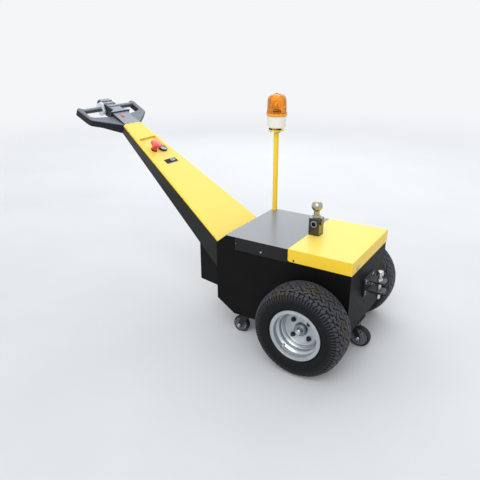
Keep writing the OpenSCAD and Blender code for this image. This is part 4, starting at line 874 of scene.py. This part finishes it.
def makeRotor():
    low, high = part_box("beacon_lamp")
    foot = ((low.x + high.x) / 2, (low.y + high.y) / 2, low.z)
    r, bottom, top, edge = [rotor[k] for k in ("motorRadius", "motorLow", "motorHigh", "motorEdge")]
    motor = turnedGrid([(0, bottom), (r, bottom), (r, top - edge), (r - edge, top), (r * 0.55, top),
                        (0, top)], 40)
    seats = [(foot, (0, 0, 1))]
    makePiece("beacon_motor", *placed(*motor, seats), finish["blackPlastic"], "chassis", "stop_collar")
    makePiece("beacon_cup", *placed(*cupGrid(), seats), finish["silverPaint"], "chassis", "throttle_discs")


makeRotor()
print("castor, meter, key and beacon trim placed")

# Camera, as the photograph was taken
camera = {"place": (1.34959, -1.99995, 1.34330), "azimuth": 32.375, "pitch": 21.989, "roll": -0.261,
          "lens": 38.33, "sensor": 36.0, "reach": 60}


# Axes of the camera: back from the azimuth and pitch, right level with the floor, both turned by the roll
def placeCamera():
    a, e, roll = (math.radians(camera[k]) for k in ("azimuth", "pitch", "roll"))
    back = Vector((math.sin(a) * math.cos(e), -math.cos(a) * math.cos(e), math.sin(e)))
    right = Vector((math.cos(a), math.sin(a), 0))
    up = back.cross(right)
    x = right * math.cos(roll) + up * math.sin(roll)
    y = up * math.cos(roll) - right * math.sin(roll)
    lens = bpy.data.cameras.new("camera")
    lens.lens, lens.sensor_width = camera["lens"], camera["sensor"]
    lens.clip_end = camera["reach"]
    view = bpy.data.objects.new("camera", lens)
    view.matrix_world = Matrix.Translation(camera["place"]) @ Matrix((x, y, back)).transposed().to_4x4()
    bpy.context.scene.collection.objects.link(view)
    bpy.context.scene.camera = view


# Floor, world and lamps: pale and even, with the world plain white to camera, mirror and glass rays and the
# floor fading to it far out; suns as (direction, energy, angle), softboxes as (place, size, energy)
studio = {"floor": "#d0d3d6", "cloud": "#dcdee0", "world": "#f4f6f8", "worldLevel": 0.7, "floorSize": 60.0,
          "fadeFrom": 2.4, "fadeTo": 7.5, "lampAim": 450 * mm,
          "suns": [((0.25, -0.9, 1.0), 1.6, 50), ((-0.5, 0.7, 1.2), 0.6, 60)],
          "boxes": [((0.6, 3.4, 3.4), 2.6, 25), ((-2.1, 3.5, 2.4), 3.6, 26)]}


# One lamp that looks at the machine's middle
def addLamp(kind, place, energy, **settings):
    lamp = bpy.data.lights.new("studio_lamp", kind)
    lamp.energy = energy
    for key, value in settings.items():
        setattr(lamp, key, value)
    holder = bpy.data.objects.new("studio_lamp", lamp)
    middle = Vector(((cadLow.x + cadHigh.x) / 2, 0, studio["lampAim"]))
    holder.location = place
    holder.rotation_euler = (middle - Vector(place)).to_track_quat("-Z", "Y").to_euler()
    bpy.context.scene.collection.objects.link(holder)


def makeWorld():
    world = bpy.data.worlds.new("pale_world")
    bpy.context.scene.world = world
    world.use_nodes = True
    tree = world.node_tree
    rays = addNode(tree, "LightPath", {}).node.outputs
    seen = addNode(tree, "Math", {"operation": "MAXIMUM", 0: rays["Is Camera Ray"],
                                  1: rays["Is Glossy Ray"]})
    seen = addNode(tree, "Math", {"operation": "MAXIMUM", 0: seen, 1: rays["Is Transmission Ray"]})
    level = addNode(tree, "MapRange", {"Value": seen, "To Min": studio["worldLevel"]})
    setNode(tree, tree.nodes["Background"], {"Color": linear(studio["world"]), "Strength": level})


def makeFloor():
    half = studio["floorSize"] / 2
    mesh = bpy.data.meshes.new("floor")
    corners = [(-half, -half, 0), (half, -half, 0), (half, half, 0), (-half, half, 0)]
    mesh.from_pydata(corners, [], [(0, 1, 2, 3)])
    floor = bpy.data.objects.new("floor", mesh)
    bpy.context.scene.collection.objects.link(floor)
    constants = {"Base Color": linear(studio["floor"]), "Roughness": 0.9, "Specular IOR Level": 0.0}
    material, tree, shader, coords, (cloud,) = startMaterial("pale_floor", constants, ((900, 4),))
    pale = addNode(tree, "MapRange", {"Value": cloud, "From Min": 0.3, "From Max": 0.7, "To Max": 0.5})
    tone = layered(tree, linear(studio["floor"]), [(pale, linear(studio["cloud"]))])
    setNode(tree, shader, {"Base Color": tone})
    away = addNode(tree, "VectorMath", {"operation": "LENGTH", 0: coords}, "Value")
    far = addNode(tree, "MapRange", {"Value": away, "From Min": studio["fadeFrom"],
                                     "From Max": studio["fadeTo"]})
    haze = addNode(tree, "Emission", {"Color": linear(studio["world"])})
    blend = addNode(tree, "MixShader", {0: far, 1: shader.outputs[0], 2: haze})
    setNode(tree, tree.nodes["Material Output"], {"Surface": blend})
    mesh.materials.append(material)


def makeStudio():
    makeWorld()
    makeFloor()
    for direction, energy, angle in studio["suns"]:
        addLamp("SUN", Vector(direction) * 5, energy, angle=math.radians(angle))
    for place, size, energy in studio["boxes"]:
        addLamp("AREA", place, energy, shape="DISK", size=size)
    bpy.context.scene.view_settings.view_transform = "Standard"


placeCamera()
makeStudio()
print("camera and studio placed")
